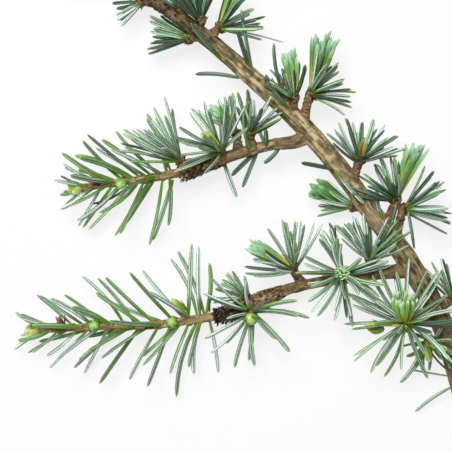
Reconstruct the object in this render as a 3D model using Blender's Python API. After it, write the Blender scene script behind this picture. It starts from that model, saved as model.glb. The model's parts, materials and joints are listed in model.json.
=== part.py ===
"""Cut branch of a blue Atlas cedar, lying on a level surface.

The main stem runs from a flat cut at its foot to a leading shoot. Two side shoots leave it on the left.
Short spurs on all three limbs end in rosettes of needles, some with a tuft of new growth in the middle.
The three long shoots carry single needles all the way round and end in a bud.

X is to the right, Y is towards the leading shoot and Z is up from the surface. The sizes below are in
millimetres, and MM turns them into metres. The finished branch stands on the origin: the middle of its
box in X and Y, and its lowest point in Z.
"""

import math
import random
from functools import partial
from typing import NamedTuple

import bmesh
import bpy
import numpy as np
from mathutils import Matrix, Vector

MM = 0.001
GAP = 0.3  # air between neighbouring solids
UP = np.array((0.0, 0.0, 1.0))

# Limbs: x, y, height of the axis and radius, from foot to tip. A smooth line runs through the rows.
MAIN_STEM = (
    (68.3, -50.1, 3.45, 3.35),
    (61.6, -29.1, 6.6, 3.15),
    (51.8, -10.9, 9.0, 3.05),
    (41.7, 2.5, 11.0, 2.75),
    (29.7, 18.5, 12.4, 2.70),
    (17.9, 31.4, 12.8, 2.60),
    (5.0, 43.4, 12.6, 2.40),
    (-5.6, 52.5, 12.2, 2.30),
    (-16.5, 60.6, 11.6, 2.15),
    (-28.0, 68.0, 10.8, 1.80),
)
UPPER_SIDE_SHOOT = (
    (23.2, 25.5, 12.6, 2.30),
    (19.0, 23.4, 12.5, 1.90),
    (12.9, 22.7, 12.3, 1.55),
    (3.1, 20.1, 11.8, 1.60),
    (-5.6, 17.2, 11.2, 2.00),
    (-10.1, 15.9, 10.8, 2.55),
    (-13.0, 15.0, 10.4, 2.20),
)
LOWER_SIDE_SHOOT = (
    (52.6, -12.0, 9.0, 2.60),
    (47.9, -12.7, 9.2, 2.10),
    (43.7, -13.2, 9.6, 1.75),
    (30.2, -15.0, 10.2, 1.50),
    (19.6, -17.1, 10.2, 1.50),
    (15.4, -18.5, 10.0, 1.75),
    (11.5, -20.3, 9.8, 2.45),
    (7.4, -22.1, 9.5, 2.35),
    (2.1, -24.4, 9.2, 2.05),
    (-2.5, -25.3, 9.0, 1.55),
)

# Twigs of the long shoots, in the same form. Each goes on from the tip of its limb.
LEADING_TWIG = (
    (-28.4, 68.3, 10.8, 1.45),
    (-35.4, 76.4, 9.9, 1.25),
    (-42.2, 85.8, 8.8, 1.10),
    (-48.0, 95.6, 7.6, 0.95),
)
UPPER_TWIG = (
    (-13.6, 14.8, 10.3, 1.30),
    (-22.4, 13.2, 9.5, 1.10),
    (-30.5, 12.3, 8.7, 1.00),
    (-40.8, 10.8, 7.6, 0.90),
)
LOWER_TWIG = (
    (-3.1, -25.4, 8.9, 1.30),
    (-19.6, -27.8, 8.3, 1.15),
    (-30.0, -28.1, 7.7, 1.05),
    (-40.6, -28.6, 7.2, 1.00),
    (-53.0, -29.4, 6.6, 0.90),
)
LIMB_STEP = 3.4  # between the rings of a limb
TWIG_STEP = 3.4
LIMB_BEVEL = 3  # 10 sides
TWIG_BEVEL = 1  # 6 sides
WELD = 0.0002  # points nearer than this count as one

# Needles: a spindle of three sides along a shallow parabola.
NEEDLE_RADIUS = 0.72
NEEDLE_RINGS = (0.24, 0.80)  # where the spindle has its full width, as shares of its length
NEEDLE_SAMPLES = 30
FIRST_SAMPLE = 0.06
ROUTE_SAMPLE = 0.6
SAMPLE_SLACK = 0.1  # a crossing can fall between two samples
GOLDEN_ANGLE = 137.508
FLOOR_CLEAR = 0.45  # height of the tip of a needle that is pressed on the surface
TRIES = 5
NEEDLES_KEPT = 2  # the solids carry every second needle of a rosette,
TUFT_KEPT = 5  # and every fifth one of a tuft

NEEDLE_ROLL = 0.6  # radians from one needle's section to the next,
RETRY_ROLL = 0.25  # and from one try at fusing them to the next

# Spurs: a short peg that swells to a head, then a small bud.
PEG_RADIUS = 1.15
PEG_FOOT_RADIUS = 1.44
PEG_NECK = 0.45  # the narrow place, as a share of the peg
HEAD_RADIUS = 1.45
BUD_LENGTH = 2.4
BUD_PROFILE = ((0.45, 0.85), (0.85, 0.55), (1.0, 0.20))  # shares of its length and of the head's radius
ROSETTE_INNER = 24.0  # degrees from the axis of the rosette
ROOT_DEPTH = 1.1  # the outermost needles stand this far below the head
AXIS_SHARE = 0.84  # length of a needle along the axis of the rosette, against one square to it
ROSETTE_TILT_SHAKE = 6.0  # degrees either way
ROSETTE_TURN_SHAKE = 14.0
ROSETTE_LENGTHS = (0.86, 1.06)  # shares of the reach
ROSETTE_CURLS = (0.02, 0.16)  # shares of the length
TUFT_SPREAD = 7.0  # half angle of a tuft of new needles where it leaves the head
TUFT_BASE = 0.6
TUFT_LENGTHS = (0.84, 1.04)
TUFT_DOME = 0.10  # the outer needles are this much shorter
TUFT_CURL = 0.13  # outwards, as a share of the length

# Long shoots: how far the needles lean from the twig, and how long they are, against the share of the twig.
LEAN = ((0.0, 0.14, 0.3, 0.75, 1.0), (98.0, 72.0, 58.0, 52.0, 32.0))
SWEPT_LEAN = ((0.0, 0.3, 0.75, 1.0), (64.0, 56.0, 50.0, 32.0))
LENGTH = ((0.0, 0.5, 0.75, 0.9, 1.0), (1.0, 0.94, 0.78, 0.55, 0.42))
SHOOT_LEAN_SHAKE = 8.0
SHOOT_TURN_SHAKE = 12.0
SHOOT_LENGTHS = (0.82, 1.04)
SHOOT_CURLS = (0.05, 0.22)
ROOT_OFFSET = 0.3  # of a needle from the middle line of the twig, as a share of its radius
FIRST_NEEDLE = 0.6  # in steps between needles, from the foot of the twig
TERMINAL_BUD = (1.45, 3.8)  # radius and length
TERMINAL_BUD_PROFILE = ((0.15, 0.80), (0.45, 1.0), (0.78, 0.75), (1.0, 0.25))
SIDE_BUD_RADIUS = 1.45


class Spur(NamedTuple):
    """A short shoot. Angles are in degrees: a heading runs from +X towards +Y, and a rise from level."""

    name: str
    limb: str
    at: float  # distance along the limb
    heading: float
    rise: float
    peg: float  # from the bark of the limb to the head
    face: tuple  # heading and rise of the rosette
    spread: float  # angle between its axis and its outermost needles
    needles: int
    reach: float


class Tuft(NamedTuple):
    """A brush of new needles in the middle of a rosette."""

    heading: float
    rise: float
    length: float
    needles: int
    spread: float = TUFT_SPREAD
    curl: float = TUFT_CURL


class LongShoot(NamedTuple):
    """A twig with needles all the way round. Buds are (share of the twig, degrees round it from the top)."""

    name: str
    twig: tuple
    needles: int
    reach: float
    buds: tuple = ()
    lean: tuple = LEAN


LONG_SHOOTS = (
    LongShoot("leading_shoot", LEADING_TWIG, 42, 18.0, ((0.45, 60.0),), SWEPT_LEAN),
    LongShoot("upper_shoot_tip", UPPER_TWIG, 42, 20.5, ((0.58, -20.0),)),
    LongShoot("lower_shoot_tip", LOWER_TWIG, 46, 21.0, ((0.24, 10.0), (0.68, 15.0))),
)

SPURS = (
    # on the main stem, from the cut end up
    Spur("spur_foot_right", "main_stem", 4.0, 49.0, 42.0, 1.9, (25.0, 22.0), 82.0, 20, 13.5),
    Spur("spur_small", "main_stem", 18.0, 172.0, 35.0, 4.6, (235.0, 52.0), 96.0, 12, 10.0),
    Spur("spur_front", "main_stem", 26.0, 186.0, 35.0, 9.8, (106.0, 60.0), 100.0, 42, 18.6),
    Spur("spur_right_edge", "main_stem", 29.0, 22.0, -7.0, 3.3, (92.0, 4.0), 64.0, 22, 14.0),
    Spur("spur_right_low", "main_stem", 51.5, 74.0, 8.0, 7.0, (19.0, 8.0), 46.0, 22, 15.0),
    Spur("spur_right_tuft", "main_stem", 56.0, 68.0, 26.0, 7.0, (120.0, 20.0), 54.0, 24, 14.0),
    Spur("spur_left_tuft", "main_stem", 64.0, 186.0, -41.0, 2.3, (166.0, -4.0), 34.0, 12, 11.5),
    Spur("spur_right_bud", "main_stem", 71.5, 73.0, 34.0, 5.5, (73.0, 20.0), 66.0, 36, 13.2),
    Spur("spur_middle_right", "main_stem", 93.0, 75.0, 8.0, 6.6, (30.0, 8.0), 60.0, 24, 13.6),
    Spur("spur_middle_left", "main_stem", 97.5, 75.0, 36.0, 3.0, (112.0, 14.0), 52.0, 20, 11.5),
    Spur("spur_upper_left", "main_stem", 131.5, 214.0, -30.0, 1.6, (171.0, 0.0), 32.0, 16, 14.5),
    Spur("spur_upper_right", "main_stem", 128.5, 45.0, 5.0, 2.5, (30.0, 6.0), 50.0, 18, 14.5),
    Spur("spur_upper_front", "main_stem", 132.5, 57.0, 56.0, 2.7, (104.0, 28.0), 38.0, 24, 14.5),
    Spur("spur_upper_middle", "main_stem", 137.5, 92.0, 54.0, 2.3, (103.0, 26.0), 42.0, 24, 14.0),
    Spur("spur_top_left", "main_stem", 147.5, 188.0, -24.0, 1.7, (192.0, 0.0), 38.0, 14, 10.0),
    Spur("spur_top_right", "main_stem", 153.0, 60.0, 20.0, 3.9, (66.0, 8.0), 72.0, 24, 14.0),
    # on the upper side shoot, from the main stem outwards
    Spur("upper_spur_stem", "upper_side_shoot", 16.5, 102.0, 32.0, 4.1, (78.0, 18.0), 52.0, 22, 12.8),
    Spur("upper_spur_tuft", "upper_side_shoot", 20.5, 97.0, -8.0, 4.4, (118.0, 2.0), 44.0, 14, 13.0),
    Spur("upper_spur_front", "upper_side_shoot", 25.5, 95.0, 55.0, 2.7, (130.0, 32.0), 70.0, 28, 16.0),
    Spur("upper_spur_scales", "upper_side_shoot", 35.5, 128.0, 35.0, 1.9, (124.0, 18.0), 56.0, 26, 19.0),
    # on the lower side shoot, from the main stem outwards
    Spur("lower_spur_stem", "lower_side_shoot", 10.5, 119.0, 37.0, 4.6, (90.0, 24.0), 64.0, 30, 14.5),
    Spur("lower_spur_front", "lower_side_shoot", 19.0, 145.0, 69.0, 4.8, (110.0, 78.0), 102.0, 36, 14.3),
    Spur("lower_spur_tuft", "lower_side_shoot", 31.5, 122.0, 29.0, 5.1, (124.0, 16.0), 68.0, 28, 15.5),
    Spur("lower_spur_bud", "lower_side_shoot", 47.0, 275.0, 60.0, 1.9, (258.0, 54.0), 98.0, 18, 17.5),
    Spur("lower_spur_back", "lower_side_shoot", 47.0, 117.0, 36.0, 1.2, (158.0, 20.0), 54.0, 18, 10.5),
)

# The tufts of new growth on some of the spurs.
TUFTS = {
    "spur_front": Tuft(95.0, 48.0, 9.0, 22, 19.0, -0.06),
    "spur_right_tuft": Tuft(71.0, 12.0, 17.5, 28),
    "spur_left_tuft": Tuft(152.0, 2.0, 14.0, 28, 11.0, 0.04),
    "spur_right_bud": Tuft(84.0, 30.0, 6.0, 10, 5.0, 0.0),
    "spur_middle_right": Tuft(74.0, 10.0, 17.5, 28),
    "spur_middle_left": Tuft(99.0, 6.0, 14.0, 22, 5.0, 0.09),
    "spur_upper_right": Tuft(64.0, 10.0, 14.5, 24),
    "spur_top_right": Tuft(72.0, 12.0, 13.5, 22),
    "upper_spur_tuft": Tuft(135.0, 6.0, 11.0, 24, 5.0, 0.03),
    "upper_spur_front": Tuft(146.0, 28.0, 6.4, 16, 9.0, 0.0),
    "lower_spur_front": Tuft(100.0, 84.0, 4.6, 22, 22.0, -0.04),
    "lower_spur_tuft": Tuft(150.0, 14.0, 14.8, 28, 5.0, 0.04),
}

SHARP_ANGLE = math.radians(40.0)
FINISHES = {  # red, green, blue and roughness
    "bark": (0.22, 0.18, 0.10, 0.80),
    "shoot_bark": (0.26, 0.18, 0.10, 0.82),
    "needles": (0.20, 0.33, 0.25, 0.50),
}


def unit(vector):
    """The vector at length 1."""
    return vector / np.linalg.norm(vector)


def direction(heading, rise):
    """The unit vector of a heading and a rise, both in degrees."""
    level = math.cos(math.radians(rise))
    turn = math.radians(heading)
    return np.array((math.cos(turn) * level, math.sin(turn) * level, math.sin(math.radians(rise))))


def across(axis):
    """Two unit vectors square to the axis. The second is the one nearest to straight up."""
    side = unit(np.cross(axis, UP)) if abs(axis[2]) < 0.99 else np.array((1.0, 0.0, 0.0))
    return side, np.cross(side, axis)


def resampled(route, step):
    """The route with a point at about every step."""
    walked = distances(route)
    marks = np.linspace(0.0, walked[-1], max(2, round(walked[-1] / step) + 1))
    return np.column_stack([np.interp(marks, walked, column) for column in route.T])


def smooth_route(rows, step):
    """Points with radii at about this step along a Catmull-Rom curve through the rows."""
    rows = np.array(rows)
    ends = np.vstack((2 * rows[0] - rows[1], rows, 2 * rows[-1] - rows[-2]))
    fine = []
    for before, a, b, after in zip(ends, ends[1:], ends[2:], ends[3:]):
        for t in np.arange(0.0, 1.0, 0.05):
            bow = (2 * before - 5 * a + 4 * b - after) * t * t + (3 * a - before - 3 * b + after) * t**3
            fine.append(a + 0.5 * ((b - before) * t + bow))
    return resampled(np.array([*fine, rows[-1]]), step)


def distances(route):
    """How far along the route each of its points is."""
    return np.concatenate(([0.0], np.cumsum(np.linalg.norm(np.diff(route[:, :3], axis=0), axis=1))))


def place_on(route, at):
    """Point, heading vector and radius at a distance along a route."""
    walked = distances(route)
    here = np.array([np.interp(at, walked, column) for column in route.T])
    near = min(max(int(np.searchsorted(walked, at)), 1), len(route) - 1)
    return here[:3], unit(route[near, :3] - route[near - 1, :3]), here[3]


class Needle(NamedTuple):
    """A needle along root + t * length * aim + t * t * curl, with t from 0 to 1."""

    root: np.ndarray
    aim: np.ndarray
    length: float
    curl: np.ndarray

    def points(self, shares):
        shares = np.asarray(shares)[:, None]
        return self.root + shares * self.length * self.aim + shares**2 * self.curl

    def samples(self):
        """Points on its middle line, and its radius at each."""
        shares = np.linspace(FIRST_SAMPLE, 1.0, NEEDLE_SAMPLES)
        widths = np.interp(shares, (0.0, *NEEDLE_RINGS, 1.0), (0.0, NEEDLE_RADIUS, NEEDLE_RADIUS, 0.0))
        return self.points(shares), widths


def pressed(needle):
    """The needle turned up, if it has to be, until its tip lies on the surface."""
    lowest = (FLOOR_CLEAR - needle.root[2] - needle.curl[2]) / needle.length
    if needle.aim[2] >= lowest:
        return needle
    level = needle.aim * (1.0, 1.0, 0.0) + (1e-4, 0.0, 0.0)
    aim = unit(level) * math.sqrt(max(0.0, 1.0 - lowest**2)) + UP * lowest
    return needle._replace(aim=unit(aim))


class Space:
    """What is already taken: for each solid, points on its middle line with the radius there."""

    def __init__(self):
        self.taken = {}

    def add_route(self, owner, route):
        """Takes the room of a limb, twig or peg."""
        rows = resampled(route, ROUTE_SAMPLE)
        self.add(owner, rows[:, :3], rows[:, 3])

    def add(self, owner, points, radii):
        rows = np.column_stack((points, radii))
        self.taken[owner] = np.vstack((self.taken[owner], rows)) if owner in self.taken else rows

    def is_free(self, owner, needle):
        """Whether the needle stays clear of everything but its own mass."""
        points, widths = needle.samples()
        for other, rows in self.taken.items():
            if other == owner:
                continue
            apart = np.linalg.norm(points[:, None] - rows[None, :, :3], axis=2)
            if (apart - rows[:, 3] - widths[:, None]).min() < GAP + SAMPLE_SLACK:
                return False
        return True

    def add_needle(self, owner, needle):
        self.add(owner, *needle.samples())


def rosette_needle(spur, head, index, attempt):
    """One needle of a rosette. They are dealt evenly over the dome round its axis by the golden angle."""
    chance = random.Random(f"{spur.name} {index} {attempt}")
    axis = direction(*spur.face)
    side, lift = across(axis)
    share = (index + 0.5) / spur.needles
    dome = math.cos(math.radians(ROSETTE_INNER)) * (1 - share) + math.cos(math.radians(spur.spread)) * share
    tilt = math.acos(dome) + math.radians(chance.uniform(-1.0, 1.0) * ROSETTE_TILT_SHAKE)
    shake = chance.uniform(-1.0, 1.0) * ROSETTE_TURN_SHAKE * (1 + attempt)
    turn = math.radians(index * GOLDEN_ANGLE + shake)
    outward = side * math.cos(turn) + lift * math.sin(turn)
    aim = axis * math.cos(tilt) + outward * math.sin(tilt)
    dome_share = AXIS_SHARE + (1 - AXIS_SHARE) * math.sin(tilt)
    length = spur.reach * dome_share * chance.uniform(*ROSETTE_LENGTHS)
    curl = (axis - aim * math.cos(tilt)) * length * chance.uniform(*ROSETTE_CURLS)
    root = head - direction(spur.heading, spur.rise) * ROOT_DEPTH * share
    return pressed(Needle(root, aim, length, curl))


def tuft_needle(name, tuft, head, index, attempt):
    """One needle of the new growth: a tight brush that flares towards its end."""
    chance = random.Random(f"{name} tuft {index} {attempt}")
    axis = direction(tuft.heading, tuft.rise)
    side, lift = across(axis)
    share = math.sqrt((index + 0.5) / tuft.needles)
    turn = math.radians(index * GOLDEN_ANGLE)
    outward = side * math.cos(turn) + lift * math.sin(turn)
    tilt = math.radians(tuft.spread * share)
    aim = axis * math.cos(tilt) + outward * math.sin(tilt)
    long = tuft.length * chance.uniform(*TUFT_LENGTHS) * (1.0 - TUFT_DOME * share)
    curl = outward * tuft.curl * share * long
    return pressed(Needle(head + outward * TUFT_BASE * share, aim, long, curl))


def shoot_needle(shoot, route, index, attempt):
    """One needle of a long shoot. They stand in a spiral, and lie closer to the twig towards its tip."""
    chance = random.Random(f"{shoot.name} {index} {attempt}")
    share = (index + FIRST_NEEDLE) / shoot.needles
    point, axis, radius = place_on(route, share * distances(route)[-1])
    side, lift = across(axis)
    shake = chance.uniform(-1.0, 1.0) * SHOOT_TURN_SHAKE * (1 + attempt)
    turn = math.radians(index * GOLDEN_ANGLE + 90.0 + shake)
    outward = side * math.cos(turn) + lift * math.sin(turn)
    lean = math.radians(np.interp(share, *shoot.lean) + chance.uniform(-1.0, 1.0) * SHOOT_LEAN_SHAKE)
    aim = axis * math.cos(lean) + outward * math.sin(lean)
    long = shoot.reach * np.interp(share, *LENGTH) * chance.uniform(*SHOOT_LENGTHS)
    curl = (axis - aim * math.cos(lean)) * long * chance.uniform(*SHOOT_CURLS)
    return pressed(Needle(point + outward * radius * ROOT_OFFSET, aim, long, curl))


def claim(space, owner, grow, indices):
    """The needles of one mass that have room. One that hits something is tried again, then skipped."""
    kept = []
    for index in indices:
        for attempt in range(TRIES):
            needle = grow(index, attempt)
            if space.is_free(owner, needle):
                space.add_needle(owner, needle)
                kept.append(needle)
                break
    return kept


def spur_route(spur, limbs):
    """The peg from the middle of its limb to the head, and on to the end of the bud, with radii."""
    foot, _, thick = place_on(limbs[spur.limb], spur.at)
    aim = direction(spur.heading, spur.rise)
    face = direction(*spur.face)
    neck = foot + aim * (thick + PEG_NECK * spur.peg)
    head = foot + aim * (thick + spur.peg)
    peg = [(*foot, PEG_FOOT_RADIUS), (*neck, PEG_RADIUS), (*head, HEAD_RADIUS)]
    bud = [(*(head + face * BUD_LENGTH * along), HEAD_RADIUS * width) for along, width in BUD_PROFILE]
    return np.array(peg + bud), head


def side_buds(shoot):
    """Centre and radius of each side bud of a long shoot."""
    route = smooth_route(shoot.twig, TWIG_STEP)
    for share, turn in shoot.buds:
        point, axis, radius = place_on(route, share * distances(route)[-1])
        side, lift = across(axis)
        outward = side * math.sin(math.radians(turn)) + lift * math.cos(math.radians(turn))
        yield point + outward * (radius + 0.5 * SIDE_BUD_RADIUS), SIDE_BUD_RADIUS


def shoot_route(shoot):
    """The twig of a long shoot and the bud on its tip, with radii."""
    twig = smooth_route(shoot.twig, TWIG_STEP)
    point, axis, _ = place_on(twig, distances(twig)[-1])
    wide, long = TERMINAL_BUD
    bud = [(*(point + axis * long * along), wide * width) for along, width in TERMINAL_BUD_PROFILE]
    return np.vstack((twig, bud))


def solid_object(name, shape, collection):
    """A mesh object of flat faces from the closed bmesh, turned outwards. The bmesh is freed."""
    bmesh.ops.triangulate(shape, faces=shape.faces)
    bmesh.ops.recalc_face_normals(shape, faces=shape.faces)
    if shape.calc_volume(signed=True) < 0.0:
        bmesh.ops.reverse_faces(shape, faces=shape.faces)
    mesh = bpy.data.meshes.new(name)
    shape.to_mesh(mesh)
    shape.free()
    made = bpy.data.objects.new(name, mesh)
    collection.objects.link(made)
    return made


def tube(name, route, bevel, collection, swell=0.0):
    """A round tube along a route, as a mesh with welded caps."""
    curve = bpy.data.curves.new(name, "CURVE")
    curve.dimensions = "3D"
    curve.bevel_depth = MM
    curve.bevel_resolution = bevel
    curve.use_fill_caps = True
    spline = curve.splines.new("POLY")
    spline.points.add(len(route) - 1)
    for point, (x, y, z, radius) in zip(spline.points, route):
        point.co = (x * MM, y * MM, z * MM, 1.0)
        point.radius = radius + swell
    line = bpy.data.objects.new(name + "_line", curve)
    collection.objects.link(line)
    graph = bpy.context.evaluated_depsgraph_get()
    mesh = bpy.data.meshes.new_from_object(line.evaluated_get(graph))
    bpy.data.objects.remove(line)
    shape = bmesh.new()
    shape.from_mesh(mesh)
    bmesh.ops.remove_doubles(shape, verts=shape.verts, dist=1e-6)
    return solid_object(name, shape, collection)


def needle_solid(name, needle, roll, collection):
    """A sphere of three sides and three bands, rolled about its axis and drawn out along the needle."""
    shape = bmesh.new()
    bmesh.ops.create_uvsphere(shape, u_segments=3, v_segments=3, radius=1.0)
    side, lift = across(needle.aim)
    for vertex in shape.verts:
        x, y, z = vertex.co
        inner = abs(z) < 0.9
        share = NEEDLE_RINGS[int(z > 0)] if inner else float(z > 0)
        point = needle.points((share,))[0]
        if inner:
            turn = math.atan2(y, x) + roll
            point = point + (side * math.cos(turn) + lift * math.sin(turn)) * NEEDLE_RADIUS
        vertex.co = Vector(point) * MM
    solid_object(name, shape, collection)


def bud_solid(name, centre, radius, collection):
    """A round bud."""
    shape = bmesh.new()
    bmesh.ops.create_uvsphere(shape, u_segments=6, v_segments=4, radius=radius * MM)
    bmesh.ops.translate(shape, vec=Vector(centre) * MM, verts=shape.verts)
    solid_object(name, shape, collection)


def islands(shape):
    """The connected groups of faces of a bmesh."""
    left = set(shape.faces)
    groups = []
    while left:
        front = [left.pop()]
        group = list(front)
        while front:
            near = {other for edge in front.pop().edges for other in edge.link_faces} & left
            left -= near
            front.extend(near)
            group.extend(near)
        groups.append(group)
    return groups


def settle(obj):
    """Puts the object's modifiers into its mesh, and keeps its one outer shell without scraps or hollows."""
    graph = bpy.context.evaluated_depsgraph_get()
    mesh = bpy.data.meshes.new_from_object(obj.evaluated_get(graph))
    obj.modifiers.clear()
    shape = bmesh.new()
    shape.from_mesh(mesh)
    smaller = sorted(islands(shape), key=len)[:-1]
    if smaller:
        print(obj.name, "scraps dropped:", [len(group) for group in smaller])
        bmesh.ops.delete(shape, geom=[face for group in smaller for face in group], context="FACES")
    shape.to_mesh(mesh)
    shape.free()
    obj.data = mesh


def is_sound(obj):
    """Whether each edge still joins exactly two faces when points that all but touch are welded."""
    shape = bmesh.new()
    shape.from_mesh(obj.data)
    bmesh.ops.remove_doubles(shape, verts=shape.verts, dist=WELD * MM)
    sound = all(len(edge.link_faces) == 2 for edge in shape.edges)
    shape.free()
    return sound


def fuse(core, leaves, cutter=None):
    """Joins the collection of needles to the core in one Boolean, and cuts the foot clear of its limb."""
    join = core.modifiers.new("Needles", "BOOLEAN")
    join.operation = "UNION"
    join.operand_type = "COLLECTION"
    join.collection = leaves
    join.solver = "MANIFOLD"
    if cutter is not None:
        trim = core.modifiers.new("Clear of limb", "BOOLEAN")
        trim.operation = "DIFFERENCE"
        trim.object = cutter
        trim.solver = "MANIFOLD"
    settle(core)
    for needle in list(leaves.objects):
        bpy.data.objects.remove(needle)


def grown(name, route, needles, buds, cutter, collection, leaves):
    """A mass fused from its core, buds and needles. If two faces just touch, the needles are rolled anew."""
    for attempt in range(TRIES):
        core = tube(name, route, TWIG_BEVEL, collection)
        for index, (centre, radius) in enumerate(buds):
            bud_solid(f"bud_{index}", centre, radius, leaves)
        for index, needle in enumerate(needles):
            roll = NEEDLE_ROLL * index + RETRY_ROLL * attempt
            needle_solid(f"needle_{index}", needle, roll, leaves)
        fuse(core, leaves, cutter)
        if is_sound(core):
            return core
        print(name, "is fused again")
        bpy.data.objects.remove(core)
    raise RuntimeError(f"{name} can't be fused")


def dress(obj, finish):
    """Gives the object a Principled material of its own in one of the finishes, and smooth shading."""
    *colour, roughness = FINISHES[finish]
    made = bpy.data.materials.new(f"{obj.name}_{finish}")
    made.use_nodes = True
    made.diffuse_color = (*colour, 1.0)
    shader = made.node_tree.nodes["Principled BSDF"]
    shader.inputs["Base Color"].default_value = (*colour, 1.0)
    shader.inputs["Roughness"].default_value = roughness
    shader.inputs["Metallic"].default_value = 0.0
    obj.data.materials.clear()
    obj.data.materials.append(made)
    obj.data.shade_smooth()
    obj.data.set_sharp_from_angle(angle=SHARP_ANGLE)


def stand_on_origin(objects):
    """Moves the whole branch so that the middle of its box is over the origin and it rests on Z = 0."""
    corners = np.array([tuple(vertex.co) for obj in objects for vertex in obj.data.vertices])
    low, high = corners.min(axis=0), corners.max(axis=0)
    middle = (low + high) / 2
    shift = Matrix.Translation((-middle[0], -middle[1], -low[2]))
    for obj in objects:
        obj.data.transform(shift)


def main():
    for obj in list(bpy.data.objects):
        bpy.data.objects.remove(obj)
    branch = bpy.data.collections.new("atlas_cedar_branch")
    helpers = bpy.data.collections.new("helpers")
    leaves = bpy.data.collections.new("leaves")
    bpy.context.scene.collection.children.link(branch)
    bpy.context.scene.collection.children.link(helpers)
    helpers.children.link(leaves)

    limbs = {
        "main_stem": smooth_route(MAIN_STEM, LIMB_STEP),
        "upper_side_shoot": smooth_route(UPPER_SIDE_SHOOT, LIMB_STEP),
        "lower_side_shoot": smooth_route(LOWER_SIDE_SHOOT, LIMB_STEP),
    }
    space = Space()
    solids = {}
    clearances = {}
    for name, route in limbs.items():
        space.add_route(name, route)
        solids[name] = tube(name, route, LIMB_BEVEL, branch)
        clearances[name] = tube(name + "_clearance", route, LIMB_BEVEL, helpers, swell=GAP)
        clearances[name].hide_render = True
        clearances[name].display_type = "WIRE"
    for name in ("upper_side_shoot", "lower_side_shoot"):
        saddle = solids[name].modifiers.new("Saddle on the stem", "BOOLEAN")
        saddle.operation = "DIFFERENCE"
        saddle.object = clearances["main_stem"]
        settle(solids[name])
    for name, obj in solids.items():
        dress(obj, "bark" if name == "main_stem" else "shoot_bark")

    pegs = {spur.name: spur_route(spur, limbs) for spur in SPURS}
    twigs = {shoot.name: shoot_route(shoot) for shoot in LONG_SHOOTS}
    for name, (route, _) in pegs.items():
        space.add_route(name, route)
    for name, route in twigs.items():
        space.add_route(name, route)

    needles = {name: [] for name in (*pegs, *twigs)}
    for name, tuft in TUFTS.items():
        grow = partial(tuft_needle, name, tuft, pegs[name][1])
        needles[name] += claim(space, name, grow, range(1, tuft.needles, TUFT_KEPT))
    for shoot in LONG_SHOOTS:
        grow = partial(shoot_needle, shoot, smooth_route(shoot.twig, TWIG_STEP))
        needles[shoot.name] += claim(space, shoot.name, grow, range(shoot.needles))
    for spur in SPURS:
        grow = partial(rosette_needle, spur, pegs[spur.name][1])
        needles[spur.name] += claim(space, spur.name, grow, range(0, spur.needles, NEEDLES_KEPT))

    for shoot in LONG_SHOOTS:
        name = shoot.name
        buds = list(side_buds(shoot))
        solids[name] = grown(name, twigs[name], needles[name], buds, None, branch, leaves)
    for spur in SPURS:
        name = spur.name
        cutter = clearances[spur.limb]
        solids[name] = grown(name, pegs[name][0], needles[name], (), cutter, branch, leaves)
    for name in needles:
        dress(solids[name], "needles")
        print(name, len(needles[name]), "needles")

    stand_on_origin(list(solids.values()))
    print(sum(len(o.data.polygons) for o in solids.values()), "polygons")


main()
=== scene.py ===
"""Looks of the cut branch of a blue Atlas cedar: bark, spurs, needles, buds and scales.

Lengths are in millimetres and angles in degrees until a mesh is made, when MM turns them into metres. The
branch is laid out as its solids are, and the record's cut end gives the shift from there to the frame.
"""

import json
import logging
import math
import random
from dataclasses import dataclass
from enum import Enum
from functools import partial
from typing import Any, Callable, Iterable, Iterator, Sequence

import bpy
import numpy as np
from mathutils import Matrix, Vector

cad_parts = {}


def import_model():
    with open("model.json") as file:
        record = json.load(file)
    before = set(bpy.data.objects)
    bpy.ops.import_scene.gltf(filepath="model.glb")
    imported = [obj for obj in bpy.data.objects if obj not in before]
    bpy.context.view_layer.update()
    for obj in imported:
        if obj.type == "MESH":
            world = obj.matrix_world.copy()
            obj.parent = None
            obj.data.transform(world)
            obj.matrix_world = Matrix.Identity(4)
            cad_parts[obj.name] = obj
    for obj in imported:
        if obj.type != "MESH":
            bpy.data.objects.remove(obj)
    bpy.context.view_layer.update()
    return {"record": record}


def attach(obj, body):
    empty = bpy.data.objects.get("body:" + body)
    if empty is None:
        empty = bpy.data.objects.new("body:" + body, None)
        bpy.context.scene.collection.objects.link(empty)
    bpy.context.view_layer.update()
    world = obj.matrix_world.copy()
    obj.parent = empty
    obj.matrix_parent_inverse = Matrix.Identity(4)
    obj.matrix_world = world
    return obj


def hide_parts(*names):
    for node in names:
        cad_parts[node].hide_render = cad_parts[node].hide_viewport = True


LOG = logging.getLogger("cedar_branch")

Array = np.ndarray
Paint = tuple[int, int, int]
Rows = tuple[tuple[float, float, float, float], ...]
Profile = tuple[tuple[float, ...], tuple[float, ...]]

MM = 0.001
UP = np.array((0.0, 0.0, 1.0))
GOLDEN_ANGLE = 137.508
SHARP_ANGLE = math.radians(50.0)
BAKE_MAP = "OFBake"
ALONG_MAP = "Along"
BEND = 0.30
FOCUS_HEIGHT = 10.0
CELL_MARGIN = 0.06
NEEDLE_ROLL = 38.0
NEEDLE_SIZES = (0.86, 1.08)


# Lines, directions and noise


def unit(vectors: Array) -> Array:
    """Returns the vectors at length 1."""
    return vectors / np.maximum(np.linalg.norm(vectors, axis=-1, keepdims=True), 1e-12)


def direction(heading: float, rise: float) -> Array:
    """Gives the unit vector of a heading, from +X towards +Y, and a rise from level.

    Args:
        heading: Degrees from +X.
        rise: Degrees above level.

    Returns:
        The unit vector.
    """
    level = math.cos(math.radians(rise))
    turn = math.radians(heading)
    return np.array((math.cos(turn) * level, math.sin(turn) * level, math.sin(math.radians(rise))))


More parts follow.
